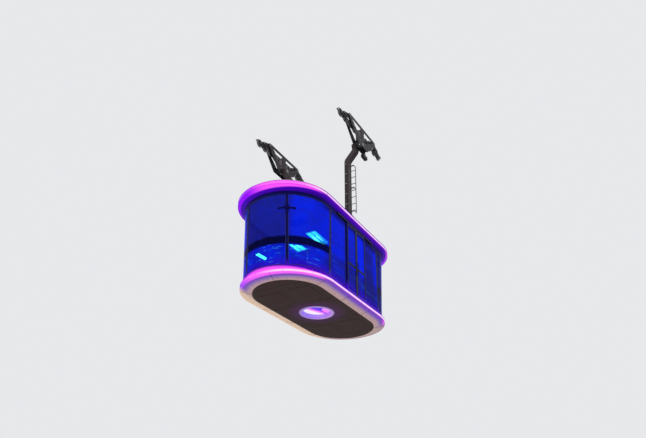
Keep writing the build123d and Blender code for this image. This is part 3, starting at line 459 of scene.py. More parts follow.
lens.surface({
    "Base Color": lens.blend(cells, colour(90, 10, 90), colour(110, 20, 110)),
    "Specular IOR Level": 0.15,
    "Emission Color": lens.blend(from_below, lens.blend(core, edge, pale), underneath),
    "Emission Strength": 1.0,
})
lens.bump(lens.z.wave(0.015), 0.001)
print("a core of", 2 * CORE[1], "m, and soft edges")

# %% [markdown]
# The rim, the sill and the skirt glow beside the bands. The glow is emission on
# their own paint, because soft light from a thin lens would be weak and grainy.
# Where no band light reaches the skirt, it has a painted cream glow instead:
# brighter along its left edge, and dimmer at the far end. Near the band, its base
# colour is painted violet by the band's light.

# %% Paint beside the bands
# columns: slot, then of the band: half length, radius, height; width of its light
# along the sides and at the ends, light from all around, strength
LIGHT_ON = (
    ("rim_paint", ROOF_HALF, 1.56, ROOF_LIGHT_Z, 0.07, 0.19, (34, 0, 104), 1.0),
    ("sill_paint", FLOOR_HALF, 1.50, FLOOR_LIGHT_Z, 0.11, 0.21, (60, 0, 180), 1.0),
    ("skirt_paint", FLOOR_HALF, 1.50, FLOOR_LIGHT_Z, 0.10, 0.14, (94, 58, 74), 0.80),
)
# The painted band glow is taken off low, downward faces at the far end.
for slot, half, band_radius, height, at_side, at_end, around, strength in LIGHT_ON:
    finish = finishes[slot]
    across, facing_end = on_plan(finish, half)
    away = (across - band_radius).reach(finish.z - height)
    share = away / (facing_end * facing_end * (at_end - at_side) + at_side)
    no_band_glow = finish.x.step(*FAR_END) * finish.up.step(-0.1, -0.5) * finish.z.step(*LOWER_PART)
    finish.halo = share.step(3.0, 0.8) * (1 - no_band_glow)
    light = band_light(finish, facing_end.step(0.45, 0.10))[1]
    light = finish.blend(share.step(1.05, 0.70) * (1 - no_band_glow), DEEP_VIOLET, light)
    finish.light = finish.blend(finish.halo, colour(*around), light)
    finish.surface({"Emission Color": finish.light, "Emission Strength": strength})

skirt = finishes["skirt_paint"]
# painted light on the skirt: a cream glow where no band light reaches it, brighter along the left edge, and
# a violet tint on its base colour near the band
left_edge = skirt.y.step(0.90, 1.25)
cream_glow_area = left_edge.most(skirt.x.step(2.0, 2.7))
painted_cream_glow = skirt.blend(left_edge, colour(76, 48, 52), colour(164, 142, 108))
skirt.surface({
    "Base Color": skirt.blend(skirt.halo * (1 - cream_glow_area) * 0.85, skirt.shade, colour(84, 24, 136)),
    "Emission Color": skirt.blend(cream_glow_area, skirt.light, painted_cream_glow),
})
print("paints beside a band:", len(LIGHT_ON))

# %% [markdown]
# The dark frames of the wall and the doors have a painted glow: a little of the
# cabin's blue light, and the violet light of the band below them. The shine on
# every dark paint round the windows is blue too, or the pale studio would make
# it look grey. The desk inside has a weak painted glow of the cabin's blue.

# %% Painted blue light on the dark paint
FRAME_LIGHT, DESK_LIGHT = 0.5, 0.4
ABOVE_SILL = (-5.75, -6.02)
# painted light on the frames: the cabin's blue, and the band's violet above the sill
for slot, blue in (("wall_paint", (4, 4, 96)), ("door_paint", (4, 10, 110))):
    framing = finishes[slot]
    lit = framing.blend(framing.clouds, colour(2, 2, 40), colour(*blue))
    lit = framing.blend(framing.z.step(*ABOVE_SILL), lit, colour(84, 0, 250))
    framing.surface({"Emission Color": lit, "Emission Strength": FRAME_LIGHT})
for slot in ("rim_paint", "sill_paint", "wall_paint", "door_paint", "header_metal"):
    finishes[slot].surface({"Specular IOR Level": 0.12, "Specular Tint": colour(120, 120, 255)})
# painted light on the desk: a weak glow of the cabin's blue
desk = finishes["desk_paint"]
painted_blue_glow = desk.blend(desk.clouds, colour(0, 0, 30), colour(4, 10, 80))
desk.surface({"Emission Color": painted_blue_glow, "Emission Strength": DESK_LIGHT})
print("finishes so far:", len(finishes))

# %% [markdown]
# The windows are tinted, and the cabin behind them is full of blue light, so
# from outside they look like blue lamps with dark frames. Clear glass would show
# the pale studio through both walls. So the panes let through only a part of
# what lies behind them, more at the ends than on the sides, and have a painted
# blue glow that stands in for the lit cabin: duller in the middle of the ends,
# brighter towards the sides but duller low down on them, with long dim streaks
# and painted cyan reflections low down. Painted shade darkens the glow behind
# the padded rail, under the soffit and beside the corner posts, and painted
# violet light of the band lies above the sill. The glass's own colour is painted
# darker behind the rail and bluer where the glow is bright.

# %% Window glass
BELT_Z = -5.150
RAIL_BAND_Z = -5.225
LEAF_SEAM = (0.00, 0.02)
LEAF_EDGE = (0.62, 0.64)
FAR_POST = (1.30, 1.42)

glass = Finish("window_glass", roughness=0.07)
facing_end = on_plan(glass, FLOOR_HALF)[1]
streaks = glass.noise(1.0, 4.0, (0.7, 9.0, 12.0))
reflections = glass.noise(1.0, 3.0, (0.5, 5.0, 20.0))
patches = glass.noise(1.2, 2.0)
smears = glass.noise(3.0, 4.0, (1.0, 1.0, 0.5))

low = glass.z.step(BELT_Z + 0.10, BELT_Z - 0.25)
end_middle = facing_end.step(0.80, 0.90) * (1 - low) * 0.35
far_pane = glass.x.step(0.62, 0.66) * (1 - glass.x.step(*FAR_POST)) * 0.30
lit_door = glass.x.step(*LEAF_SEAM) * (1 - glass.x.step(*LEAF_EDGE)) * (1 - low) * 0.30
dull = end_middle + facing_end.step(0.30, 0.05) * (low * 0.22 + far_pane - lit_door)
bright = (streaks * 0.5 + patches * 0.6 + 0.05 - dull).step(0.15, 0.85)
# painted cyan reflections on the lower glass
glint = reflections.step(0.60, 0.76) * low * streaks.step(0.35, 0.6)
# painted shade on the glow: behind the padded rail, under the soffit and beside the corner posts
rail_shade = abs(glass.z - RAIL_BAND_Z).step(0.150, 0.105) * abs(glass.x).step(1.59, 1.61)
soffit_shadow = glass.z.step(-4.02, -3.82) * facing_end.step(0.50, 0.15)
corner_shade = abs(glass.x).step(1.62, 1.74) * facing_end.step(0.60, 0.28)
corner_shade = corner_shade * glass.y.step(-0.5, 0.5).most(glass.x.step(-0.5, 0.5))

# the painted blue glow, then painted reflections, painted shade, and the painted violet band light above
# the sill
shade = glass.blend(bright, colour(24, 26, 128), colour(4, 34, 240))
for share, tint in (
    (glint * 0.7, (60, 190, 255)),
    (rail_shade * 0.95, (4, 4, 30)),
    (soffit_shadow * 0.85, (16, 8, 84)),
    (glass.z.step(-5.70, -6.0) * 0.75, (52, 0, 196)),
    (corner_shade * 0.85, (16, 14, 64)),
):
    shade = glass.blend(share, shade, colour(*tint))
# the glass's base colour is painted darker behind the rail and bluer where the glow is bright
glass.surface({
    "Base Color": glass.blend(bright * (1 - rail_shade), colour(4, 5, 34), colour(2, 8, 80)),
    "Roughness": smears.step(0.45, 0.8) * 0.12 + 0.05,
    "IOR": 1.15,
    "Specular IOR Level": 0.03,
    "Specular Tint": colour(110, 130, 255),
    "Alpha": smears * 0.08 + 0.82 - facing_end.step(0.20, 0.60) * 0.16,
    "Emission Color": shade,
    "Emission Strength": 0.85,
})
print("window glass has", len(glass.tree.nodes), "nodes")

# %% [markdown]
# Inside, the lamps glow, and the ceiling, the deck and the rail pads have a
# painted glow of the cabin's blue light. Two of the three rows of ceiling lamps
# are on, and the ceiling panels beside them are painted as lit by them. They are
# strong, because their light passes a pane of tinted glass. The strength is one
# number for the whole ceiling, so its own colour is near black and only the
# painted lit panels are bright.

# %% The light inside
# columns: slot, darker, lighter, darker light, lighter light, roughness, strength
# the ceiling, the deck and the rail pads glow with painted blue light
GLOWING_INSIDE = (
    ("ceiling_panel", (70, 80, 150), (96, 108, 190), (3, 7, 60), (5, 15, 70), 0.5, 13.0),
    ("deck", (26, 28, 52), (44, 48, 80), (8, 14, 110), (14, 30, 170), 0.6, 0.35),
    ("lamp", (210, 250, 255), (240, 255, 255), (36, 225, 250), (90, 248, 255), 0.3, 24.0),
    ("rail_pad", (10, 10, 20), (20, 20, 38), (0, 0, 16), (2, 4, 30), 0.55, 0.2),
)
LIT_ROWS, UNLIT_ROW = (0.0, 0.95), -0.95
LIT_FROM = -0.55
for slot, darker, lighter, dim, lit, roughness, strength in GLOWING_INSIDE:
    inside = Finish(slot)
    patches = inside.noise(1.5, 3.0)
    grain = inside.noise(120.0, 2.0)
    inside.light = inside.blend(patches, colour(*dim), colour(*lit))
    inside.surface({
        "Base Color": inside.blend(patches, colour(*darker), colour(*lighter)),
        "Emission Color": inside.light,
        "Emission Strength": strength,
        "Roughness": grain * 0.2 + roughness - 0.1,
    })
    inside.bump(grain, 0.0008)

lamp = finishes["lamp"]
switched_on = lamp.y.step(LIT_FROM - 0.03, LIT_FROM)
lamp.surface({"Emission Color": lamp.blend(switched_on, colour(2, 6, 12), lamp.light)})
# painted light: the ceiling panels beside the two lit rows are painted bright cyan, as lit by them
ceiling = finishes["ceiling_panel"]
middle, left = (
    aside.step(0.20, 0.16) * aside.step(0.004, 0.020)
    for aside in (abs(ceiling.y - row) for row in LIT_ROWS)
)
lit_panels = middle.most(left) * abs(ceiling.x).step(0.54, 0.42)
ceiling.surface({"Emission Color": ceiling.blend(lit_panels, ceiling.light, colour(50, 222, 236))})
print("finishes inside:", len(GLOWING_INSIDE))

# %% [markdown]
# The window in the floor sits in a ring that is painted pale. The violet light
# of its well is painted on the ring as a glow, lighter on one side, and on the
# pan round it. Its glass is thinner and clearer than the windows', so that the
# lamps behind it show, and has a painted blue glow, which shows most above them,
# where the glass is less clear.

# %% The floor window
ring = finishes["porthole_paint"]
# painted light on the ring: the well's violet glow, lighter on one side
lit_side = (ring.x * 0.51 - ring.y * 0.86).step(-0.40, 0.30)
lit_wall = ring.blend(lit_side, colour(84, 6, 196), colour(160, 104, 190))
ring.surface({
    "Emission Color": ring.blend(ring.x.reach(ring.y).step(0.56, 0.47), colour(84, 50, 120), lit_wall),
    "Emission Strength": 0.7,
})
pan = finishes["pan_paint"]
# painted violet light of the well on the pan round the window
glow = pan.blend(pan.x.reach(pan.y).step(1.05, 0.50), colour(0, 0, 0), colour(44, 0, 66))
pan.surface({"Emission Color": glow, "Emission Strength": 1.0})

# painted blue glow on the pane
pane = Finish("porthole_glass", roughness=0.06)
depth = pane.noise(4.0, 3.0)
pane.surface({
    "Base Color": colour(40, 8, 120),
    "Emission Color": pane.blend(depth, colour(56, 8, 220), colour(92, 24, 255)),
    "Emission Strength": 0.9,
    "Alpha": depth * 0.06 + 0.05 + pane.z.step(-6.30, -6.22) * 0.67,
})
print("finishes:", len(finishes))

# %% [markdown]
# Each solid has a slot in the model's record, and each slot has a finish of the
# same name. So one loop dresses them all, whichever piece they are.

# %% Dressing the solids
record_slots = {part["node"]: part["material_slot"] for part in frame["record"]["subparts"]}
for name, solid in nodes.items():
    material = finishes[record_slots[name]].material
    if not solid.material_slots:
        solid.data.materials.append(material)
    for place in solid.material_slots:
        place.material = material
print("slots dressed:", len(set(record_slots.values())))

# %% [markdown]
# Bolts, seams, gaskets and slats repeat, or follow a path, so Geometry Nodes
# make them. A tree takes points or lines that Python works out, and one shape
# with named sizes, and hands back one mesh. It is a Graph as a finish is. It
# ends in Realize Instances and Set Material, and the result is kept as a plain
# mesh, so nothing in the file stays live.

# %% Points and lines to start from
def spots(rows):
    """A mesh of loose points. Rows: place, the way the shape faces, the way its length lies."""
    mesh = bpy.data.meshes.new("spots")
    mesh.from_pydata([row[0] for row in rows], [], [])
    for name, column in (("facing", 1), ("along", 2)):
        values = [value for row in rows for value in row[column]]
        mesh.attributes.new(name, "FLOAT_VECTOR", "POINT").data.foreach_set("vector", values)
    return mesh


def lines(rows):
    """A mesh of lines. Rows: the points of a line, and whether it closes on itself."""
    points, edges = [], []
    for path, closed in rows:
        first = len(points)
        points += [tuple(point) for point in path]
        edges += [(i, i + 1) for i in range(first, len(points) - 1)]
        if closed:
            edges.append((len(points) - 1, first))
    mesh = bpy.data.meshes.new("lines")
    mesh.from_pydata(points, edges, [])
    return mesh


def hang(piece, body):
    """A finished piece moves with its body and has its slot's finish."""
    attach(piece, body)
    print(piece.name, "on", body, len(piece.data.polygons), "faces")


# %% [markdown]
# Tree is that graph. Its group has the geometry, the named sizes and a material
# as inputs, and grow() runs it: a modifier finds its inputs by the sockets'
# identifiers, which are not their names, and has to have them before the object
# is first evaluated.

# %% A tree
class Tree(Graph):
    """A Geometry Nodes tree with named sizes, which ends in one mesh with its material."""

    def __init__(self, name, start, *sizes):
        super().__init__(bpy.data.node_groups.new(name, "GeometryNodeTree"))
        self.start = start
        face = self.tree.interface
        face.new_socket("Geometry", in_out="OUTPUT", socket_type="NodeSocketGeometry")
        face.new_socket("Geometry", in_out="INPUT", socket_type="NodeSocketGeometry")
        kinds = dict.fromkeys(sizes, "NodeSocketFloat") | {"Material": "NodeSocketMaterial"}
        self.identifiers = [
            face.new_socket(title, in_out="INPUT", socket_type=kind).identifier
            for title, kind in kinds.items()
        ]
        given = list(self.tree.nodes.new("NodeGroupInput").outputs)[:len(kinds) + 1]
        self.points, *self.sizes, self.dressing = [Wire(self, socket) for socket in given]

    def raised(self, shape, height):
        lift = self.node("ShaderNodeCombineXYZ", (), {2: height})
        return self.node("GeometryNodeTransform", (), {"Geometry": shape, "Translation": lift})

    def facing(self):
        """A rotation that turns Z to each point's facing, and then X to its along."""
        facing, along = (
            self.node("GeometryNodeInputNamedAttribute", {"data_type": "FLOAT_VECTOR"}, {"Name": name})
            for name in ("facing", "along")
        )
        turned = self.node("FunctionNodeAlignRotationToVector", {"axis": "Z"}, {"Vector": facing})
        settings, sockets = {"axis": "X", "pivot_axis": "Z"}, {"Rotation": turned, "Vector": along}
        return self.node("FunctionNodeAlignRotationToVector", settings, sockets)

    def close(self, shape):
        whole = self.node("GeometryNodeRealizeInstances", (), {0: shape})
        dressed = self.node("GeometryNodeSetMaterial", (), {"Geometry": whole, "Material": self.dressing})
        self.feed(self.tree.nodes.new("NodeGroupOutput").inputs[0], dressed)

    def close_on_points(self, shape, rotation):
        sockets = {"Points": self.points, "Instance": shape, "Rotation": rotation}
        self.close(self.node("GeometryNodeInstanceOnPoints", (), sockets))

    def grow(self, name, rows, body, slot, *sizes):
        """Runs the tree on rows of its start, with its sizes in their order."""
        piece = placed(name, self.start(rows))
        growing = piece.modifiers.new("growing", "NODES")
        growing.node_group = self.tree
        for identifier, value in zip(self.identifiers, (*sizes, finishes[slot].material)):
            growing[identifier] = value
        graph = bpy.context.evaluated_depsgraph_get()
        grown = bpy.data.meshes.new_from_object(piece.evaluated_get(graph))
        piece.modifiers.remove(growing)
        piece.data = grown
        hang(piece, body)


# %% [markdown]
# Three trees make nearly all the trim. Bolts are a six-sided head on a washer,
# each turned by its own random angle, as hands leave them. Beads carry a round
# section along a line, for gaskets, pipes and seams. Bars are plain blocks.

# %% The three trees
WASHER_SIDES, HEAD_SIDES, BEAD_SIDES = 12, 6, 8
BOLT_SEED = 7

bolts = Tree("bolts", spots, "Head Width", "Head Height", "Washer Width", "Washer Height")
head_width, head_height, washer_width, washer_height = bolts.sizes
sockets = {"Vertices": WASHER_SIDES, "Radius": washer_width * 0.5, "Depth": washer_height}
washer = bolts.node("GeometryNodeMeshCylinder", (), sockets)
head = bolts.node("GeometryNodeMeshCone", (), {
    "Vertices": HEAD_SIDES,
    "Radius Top": head_width * 0.42,
    "Radius Bottom": head_width * 0.5,
    "Depth": head_height,
})
bolt = bolts.node("GeometryNodeJoinGeometry")
for shape in (bolts.raised(washer, washer_height * 0.5), bolts.raised(head, washer_height)):
    bolts.feed(bolt.socket.node.inputs[0], shape)
angles = {2: 0.0, 3: 2 * math.pi, "Seed": BOLT_SEED}
spin = bolts.node("FunctionNodeRandomValue", {"data_type": "FLOAT"}, angles, 1)
spin = bolts.node("ShaderNodeCombineXYZ", (), {2: spin})
spin = bolts.node("FunctionNodeEulerToRotation", (), {0: spin})
turned = bolts.node("FunctionNodeRotateRotation", {"rotation_space": "LOCAL"}, {0: bolts.facing(), 1: spin})
bolts.close_on_points(bolt, turned)

beads = Tree("beads", lines, "Radius")
path = beads.node("GeometryNodeMeshToCurve", (), {0: beads.points})
sockets = {"Resolution": BEAD_SIDES, "Radius": beads.sizes[0]}
section = beads.node("GeometryNodeCurvePrimitiveCircle", (), sockets)
sockets = {"Curve": path, "Profile Curve": section, "Fill Caps": True}
beads.close(beads.node("GeometryNodeCurveToMesh", (), sockets))

bars = Tree("bars", spots, "Length", "Width", "Height")
size = bars.node("ShaderNodeCombineXYZ", (), enumerate(bars.sizes))
bar = bars.node("GeometryNodeMeshCube", (), {"Size": size})
bars.close_on_points(bars.raised(bar, bars.sizes[2] * 0.5), bars.facing())
print("trees:", [group.name for group in bpy.data.node_groups])

# %% [markdown]
# The carriages are held together by axles and pins. Each ends in a washer and a
# nut on the outside of the plate that carries it. One table gives the places
# along the carriage, the height and the distance from its middle plane, and the
# nuts go on both faces of both carriages. Outside the main plates there is
# little room, so those heads are thin.

# %% Nuts on the carriages
GAUGE_HALF = 1.715
BOTH = (-1, 1)
X_AXIS, Y_AXIS, Z_AXIS = Vector((1, 0, 0)), Vector((0, 1, 0)), Vector((0, 0, 1))
rollers_x = [end * (ROLLER_START + step * ROLLER_PITCH) for end in BOTH for step in range(4)]

# columns: piece, places along, height, distance from the middle plane,
# head width, head height, washer width, washer height
NUTS = (
    ("axle_nuts", rollers_x, AXLE_Z, 0.0548, 0.046, 0.012, 0.066, 0.005),
    ("rocker_pin_nuts", (-1.29, -0.61, 0.61, 1.29), 0.260, 0.0758, 0.048, 0.006, 0.070, 0.003),
    ("bogie_pin_nuts", (-0.95, 0.95), 0.370, 0.1118, 0.060, 0.003, 0.086, 0.0025),
    ("spacer_nuts", (-0.17, 0.17), -0.180, 0.1118, 0.040, 0.003, 0.058, 0.0025),
    ("clamp_bolts", (0.20, 0.26, 0.34, 0.40), -0.600, 0.0598, 0.022, 0.012, 0.032, 0.004),
    ("lower_clamp_bolts", (0.20, 0.26, 0.34, 0.40), -0.665, 0.0598, 0.022, 0.012, 0.032, 0.004),
)
for name, along, nut_z, offset, *sizes in NUTS:
    rows = [
        ((x, side * GAUGE_HALF + face * offset, nut_z), face * Y_AXIS, X_AXIS)
        for side in BOTH for face in BOTH for x in along
    ]
    bolts.grow(name, rows, "carriages", "pin_steel", *sizes)

# %% [markdown]
# Every roller turns on its own, so the bolts of its hub cover are a mesh of
# their own that rides on it: six on each face, in a ring about its axle.

# %% Roller bolts
ROLLER_BOLTS = 6
ROLLER_BOLT_RING = 0.082
ROLLER_WEB_FACE = 0.0148
ROLLER_BOLT = (0.016, 0.008, 0.024, 0.003)
SIDES = (("left", 1), ("right", -1))


def circle(count, radius):
    """Pairs of numbers for points evenly round a circle."""
    angles = [2 * math.pi * step / count for step in range(count)]
    return [(radius * math.cos(angle), radius * math.sin(angle)) for angle in angles]


for side_name, side in SIDES:
    for number, x in enumerate(sorted(rollers_x), 1):
        rows = [
            ((x + beside, side * GAUGE_HALF + face * ROLLER_WEB_FACE, AXLE_Z + rise), face * Y_AXIS, X_AXIS)
            for face in BOTH for beside, rise in circle(ROLLER_BOLTS, ROLLER_BOLT_RING)
        ]
        roller = f"roller_{side_name}_{number}"
        bolts.grow(f"{roller}_bolts", rows, roller, "pin_steel", *ROLLER_BOLT)

# %% [markdown]
# A bent bar goes round the first and last roller of each carriage, from one
# cheek plate to the other. It keeps hands and ice off the roller. It is a line
# with a round section, so the same tree that makes gaskets makes it.

# %% Guards at the ends of the carriages
GUARD_RADIUS = 0.014
CHEEK_MIDDLE = 0.0475
# columns: distance from the middle of the carriage, bend inwards, height
GUARD_BENDS = ((1.480, 0.0, 0.190), (1.600, 0.0, 0.215), (1.645, 0.012, 0.200), (1.655, 0.030, 0.196))
guards = []
for side in BOTH:
    for end in BOTH:
        left, right = (
            [
                (end * x, side * GAUGE_HALF + cheek * (CHEEK_MIDDLE - inwards), z)
                for x, inwards, z in GUARD_BENDS
            ]
            for cheek in (1, -1)
        )
        guards.append((left + right[::-1], False))
beads.grow("roller_guards", guards, "carriages", "beam_paint", GUARD_RADIUS)

# %% [markdown]
# Everything on the cabin follows its plan: two straight sides between half
# circles. The end walls also lean outwards by about five degrees, as cylinders
# with a tilted axis. Four functions know this shape. One gives places a pitch
# apart round the plan, and one a closed line round it. The other two give a
# place on a leaning end wall, and with it the way that the wall faces there.

# %% The plan of the cabin
LEAN = math.atan2(0.224, 2.700)
WALL_RADIUS = 1.420
LINE_STEPS = 28


def round_plan(half, radius, height, pitch):
    """Rows of place, outward direction and direction along, about a pitch apart."""
    arc = math.pi * radius
    whole = 4 * half + 2 * arc
    count = round(whole / pitch)
    rows = []
    for step in range(count):
        run = whole * (step + 0.5) / count
        end = 1
        if run >= whole / 2:
            run, end = run - whole / 2, -1
        if run < arc:
            angle = run / radius - math.pi / 2
            out = Vector((math.cos(angle), math.sin(angle), 0))
            place = Vector((half, 0, height)) + out * radius
        else:
            out = Vector((0, 1, 0))
            place = Vector((half - (run - arc), radius, height))
        flip = Vector((end, end, 1))
        rows.append((place * flip, out * flip, Z_AXIS))
    return rows


def plan_line(half, radius, height):
    """A closed line round the plan."""
    points = []
    for end in (1, -1):
        for step in range(LINE_STEPS + 1):
            angle = math.pi * (step / LINE_STEPS - 0.5)
            points.append((end * (half + radius * math.cos(angle)), end * radius * math.sin(angle), height))
    return points, True


def end_wall(height, degrees, radius, end):
    """The place on a leaning end wall at a height and an angle from its crown."""
    angle = math.radians(degrees)
    axis_z = height + radius * math.cos(angle) * math.sin(LEAN)
    half = FLOOR_HALF + (axis_z - FLOOR_LIGHT_Z) * math.tan(LEAN)
    reach = half + radius * math.cos(angle) * math.cos(LEAN)
    return Vector((end * reach, radius * math.sin(angle), height))


def on_end_wall(height, degrees, radius, end):
    """A row of that place, the direction in which the wall faces there, and up."""
    angle = math.radians(degrees)
    crown = Vector((end * math.cos(LEAN), 0, -math.sin(LEAN)))
    out = crown * math.cos(angle) + Y_AXIS * math.sin(angle)
    return end_wall(height, degrees, radius, end), out, Z_AXIS


print("a place on the end wall:", end_wall(-5.0, 0.0, WALL_RADIUS, 1))

# %% [markdown]
# Each light band is a row of lenses between two thin lips. The lips are closed
# lines round the plan, in the paint of the part that they stand on, and a
# narrow bar covers the joint between two lenses.

# %% Lips and joints of the light bands
BAND_LIP = 0.0485
LIP_RADIUS = 0.006
JOINT_PITCH, JOINT_SINK = 0.85, 0.001
JOINT_BAR = (0.088, 0.007, 0.004)
# columns: band, paint of the low lip and of the high one, half length, radius, height
BANDS = (
    ("roof", "rim_paint", "rim_paint", ROOF_HALF, 1.5725, ROOF_LIGHT_Z),
    ("floor", "skirt_paint", "sill_paint", FLOOR_HALF, 1.5050, FLOOR_LIGHT_Z),
)
joints = []
for band, low_slot, high_slot, half, radius, height in BANDS:
    for side, slot, lift in (("low", low_slot, -BAND_LIP), ("high", high_slot, BAND_LIP)):
        lip = [plan_line(half, radius, height + lift)]
        beads.grow(f"{band}_band_lip_{side}", lip, "cabin", slot, LIP_RADIUS)
    joints += round_plan(half, radius - JOINT_SINK, height, JOINT_PITCH)
bars.grow("band_joints", joints, "cabin", "header_metal", *JOINT_BAR)

# %% [markdown]
# A rubber gasket holds each pane. It follows the edge of its pane, so each is a
# closed line on the glass: a rectangle on the sides, and on the ends two arcs
# joined by two leaning lines.

# %% Window gaskets
SILL_TOP_Z, GLASS_TOP_Z = -6.000, -3.750
GASKET_RADIUS = 0.011
GASKET_INSET = 0.008
SIDE_PANE, SIDE_PANE_Y = (0.668, 1.552), 1.411
END_PANE_RADIUS = 1.417
MULLION = 30.0
PANE_EDGE = 1.5
CORNER_POST = 1.648
LAST_TURN = 86.0


def upright(near, far, y, low, high):
    """A closed line round a pane that stands along a side."""
    return [(near, y, low), (far, y, low), (far, y, high), (near, y, high)], True


def end_arc(height, turns, end):
    """Points on an end pane, one for each turn from its crown."""
    return [end_wall(height, turn, END_PANE_RADIUS, end) for turn in turns]


low, high = SILL_TOP_Z + GASKET_INSET, GLASS_TOP_Z - GASKET_INSET
near, far = SIDE_PANE
gaskets = [upright(end * near, end * far, side * SIDE_PANE_Y, low, high) for side in BOTH for end in BOTH]
first = MULLION + PANE_EDGE
for end in BOTH:
    turns = [(MULLION - PANE_EDGE) * (step / 7 - 1) for step in range(15)]
    gaskets.append((end_arc(low, turns, end) + end_arc(high, turns[::-1], end), True))
    for side in BOTH:
        turns = [side * (first + (LAST_TURN - first) * step / 12) for step in range(13)]
        corner = [Vector((end * CORNER_POST, side * END_PANE_RADIUS, high))]
        gaskets.append((end_arc(low, turns, end) + corner + end_arc(high, turns[::-1], end), True))
beads.grow("window_gaskets", gaskets, "cabin", "rail_pad", GASKET_RADIUS)

# %% [markdown]
# A door leaf has a gasket round each of its two panes, a rubber nose along its
# leading edge, a bent grab handle, and screws along its three cross rails. Each
# leaf slides on its own, so the pieces are made leaf by leaf and ride on it.

# %% Door gaskets, noses, handles and screws
LEAF_FACE, LEAF_PANE_FACE = 1.466, 1.467
LEAF_MIDDLE, PANE_HALF = 0.3075, 0.250
LEAF_PANES = ((-6.030, -5.185), (-5.115, -3.820))
LEAF_RAILS = (-6.085, -5.150, -3.785)
DOOR_GASKET_RADIUS = 0.009
NOSE_X, NOSE_Z, NOSE = 0.018, -4.940, (2.38, 0.028, 0.005)
HANDLE_X, HANDLE_RADIUS = 0.047, 0.012
# columns: distance from the leaf, height
HANDLE_BENDS = (
    (-0.004, -5.330), (0.038, -5.326), (0.050, -5.306), (0.050, -4.974), (0.038, -4.954), (-0.004, -4.950),
)
SCREW_START, SCREW_PITCH = 0.075, 0.116
DOOR_SCREW = (0.012, 0.003, 0.018, 0.0015)
for side_name, side in SIDES:
    for end_name, end in (("front", 1), ("rear", -1)):
        leaf = f"door_{side_name}_{end_name}"
        near, far = end * (LEAF_MIDDLE - PANE_HALF), end * (LEAF_MIDDLE + PANE_HALF)
        y = side * LEAF_PANE_FACE
        panes = [upright(near, far, y, low, high) for low, high in LEAF_PANES]
        beads.grow(f"{leaf}_gaskets", panes, leaf, "rail_pad", DOOR_GASKET_RADIUS)
        nose = [((end * NOSE_X, side * LEAF_FACE, NOSE_Z), side * Y_AXIS, Z_AXIS)]
        bars.grow(f"{leaf}_nose", nose, leaf, "rail_pad", *NOSE)
        grip = [(end * HANDLE_X, side * (LEAF_FACE + out), z) for out, z in HANDLE_BENDS]
        beads.grow(f"{leaf}_handle", [(grip, False)], leaf, "header_metal", HANDLE_RADIUS)
        screws = [
            ((end * (SCREW_START + SCREW_PITCH * step), y, height), side * Y_AXIS, X_AXIS)
            for height in LEAF_RAILS for step in range(5)
        ]
        bolts.grow(f"{leaf}_screws", screws, leaf, "pin_steel", *DOOR_SCREW)

# %% [markdown]
# On one mullion of each end sits a dark four-armed clamp. Its hub is bolted
# through the mullion, and each arm ends in a round pad that steadies the glass.
# The arms are lines with a round section. They follow the curve of the wall, so
# their points come from the same function as the gaskets' do.

# %% Glass clamps on the mullions
CLAMP_Z = -4.220
ARM_TURN, ARM_RISE, ARM_RADIUS = 9.5, 0.165, 0.030
# columns: share of the arm's length, height above the wall
ARM_BENDS = ((0.0, 0.036), (0.35, 0.034), (0.75, 0.020), (1.0, 0.010))
PAD_PLACE = 1.4162
CLAMP_PAD = (0.050, 0.026, 0.084, 0.012)
CLAMP_HUB = (0.110, 0.022, 0.180, 0.056)
arms, pads, hubs = [], [], []
for end in BOTH:
    hub_turn = end * MULLION
    hubs.append(on_end_wall(CLAMP_Z, hub_turn, WALL_RADIUS, end))
    for turn_by, rise in ((ARM_TURN, 0.0), (-ARM_TURN, 0.0), (0.0, ARM_RISE), (0.0, -ARM_RISE)):
        arms.append(([
            end_wall(CLAMP_Z + rise * share, hub_turn + turn_by * share, WALL_RADIUS + lift, end)
            for share, lift in ARM_BENDS
        ], False))
        pads.append(on_end_wall(CLAMP_Z + rise, hub_turn + turn_by, PAD_PLACE, end))
beads.grow("clamp_arms", arms, "cabin", "wall_paint", ARM_RADIUS)
bolts.grow("clamp_pads", pads, "cabin", "wall_paint", *CLAMP_PAD)
bolts.grow("clamp_hubs", hubs, "cabin", "wall_paint", *CLAMP_HUB)

# %% [markdown]
# Small round-headed screws hold the sill panels along the bottom of the wall and
# the covers of the corner posts. They all stand on the wall and face outwards.

# %% Wall screws
SILL_SCREW_X, SILL_SCREW_Z, SILL_SCREW_PITCH = 0.72, -6.075, 0.20
CORNER_SCREW_X, CORNER_SCREW_Z, CORNER_SCREW_PITCH = 1.600, -5.900, 0.295
END_SCREW_TURN = 10.0
WALL_SCREW = (0.014, 0.0035, 0.022, 0.0015)
turns = [END_SCREW_TURN * (step - 8) for step in range(17)]
side_screws = [(SILL_SCREW_X + SILL_SCREW_PITCH * step, SILL_SCREW_Z) for step in range(5)]
side_screws += [(CORNER_SCREW_X, CORNER_SCREW_Z + CORNER_SCREW_PITCH * step) for step in range(8)]
screws = []
for end in BOTH:
    screws += [on_end_wall(SILL_SCREW_Z, turn, WALL_RADIUS, end) for turn in turns]
    for side in BOTH:
        screws += [((end * x, side * WALL_RADIUS, z), side * Y_AXIS, Z_AXIS) for x, z in side_screws]
bolts.grow("wall_screws", screws, "cabin", "pin_steel", *WALL_SCREW)

# %% [markdown]
# Below the floor the skirt is a ring of pressed panels. It slopes, so its screws
# face down and a little outwards, and the seams between its panels rise
# outwards.

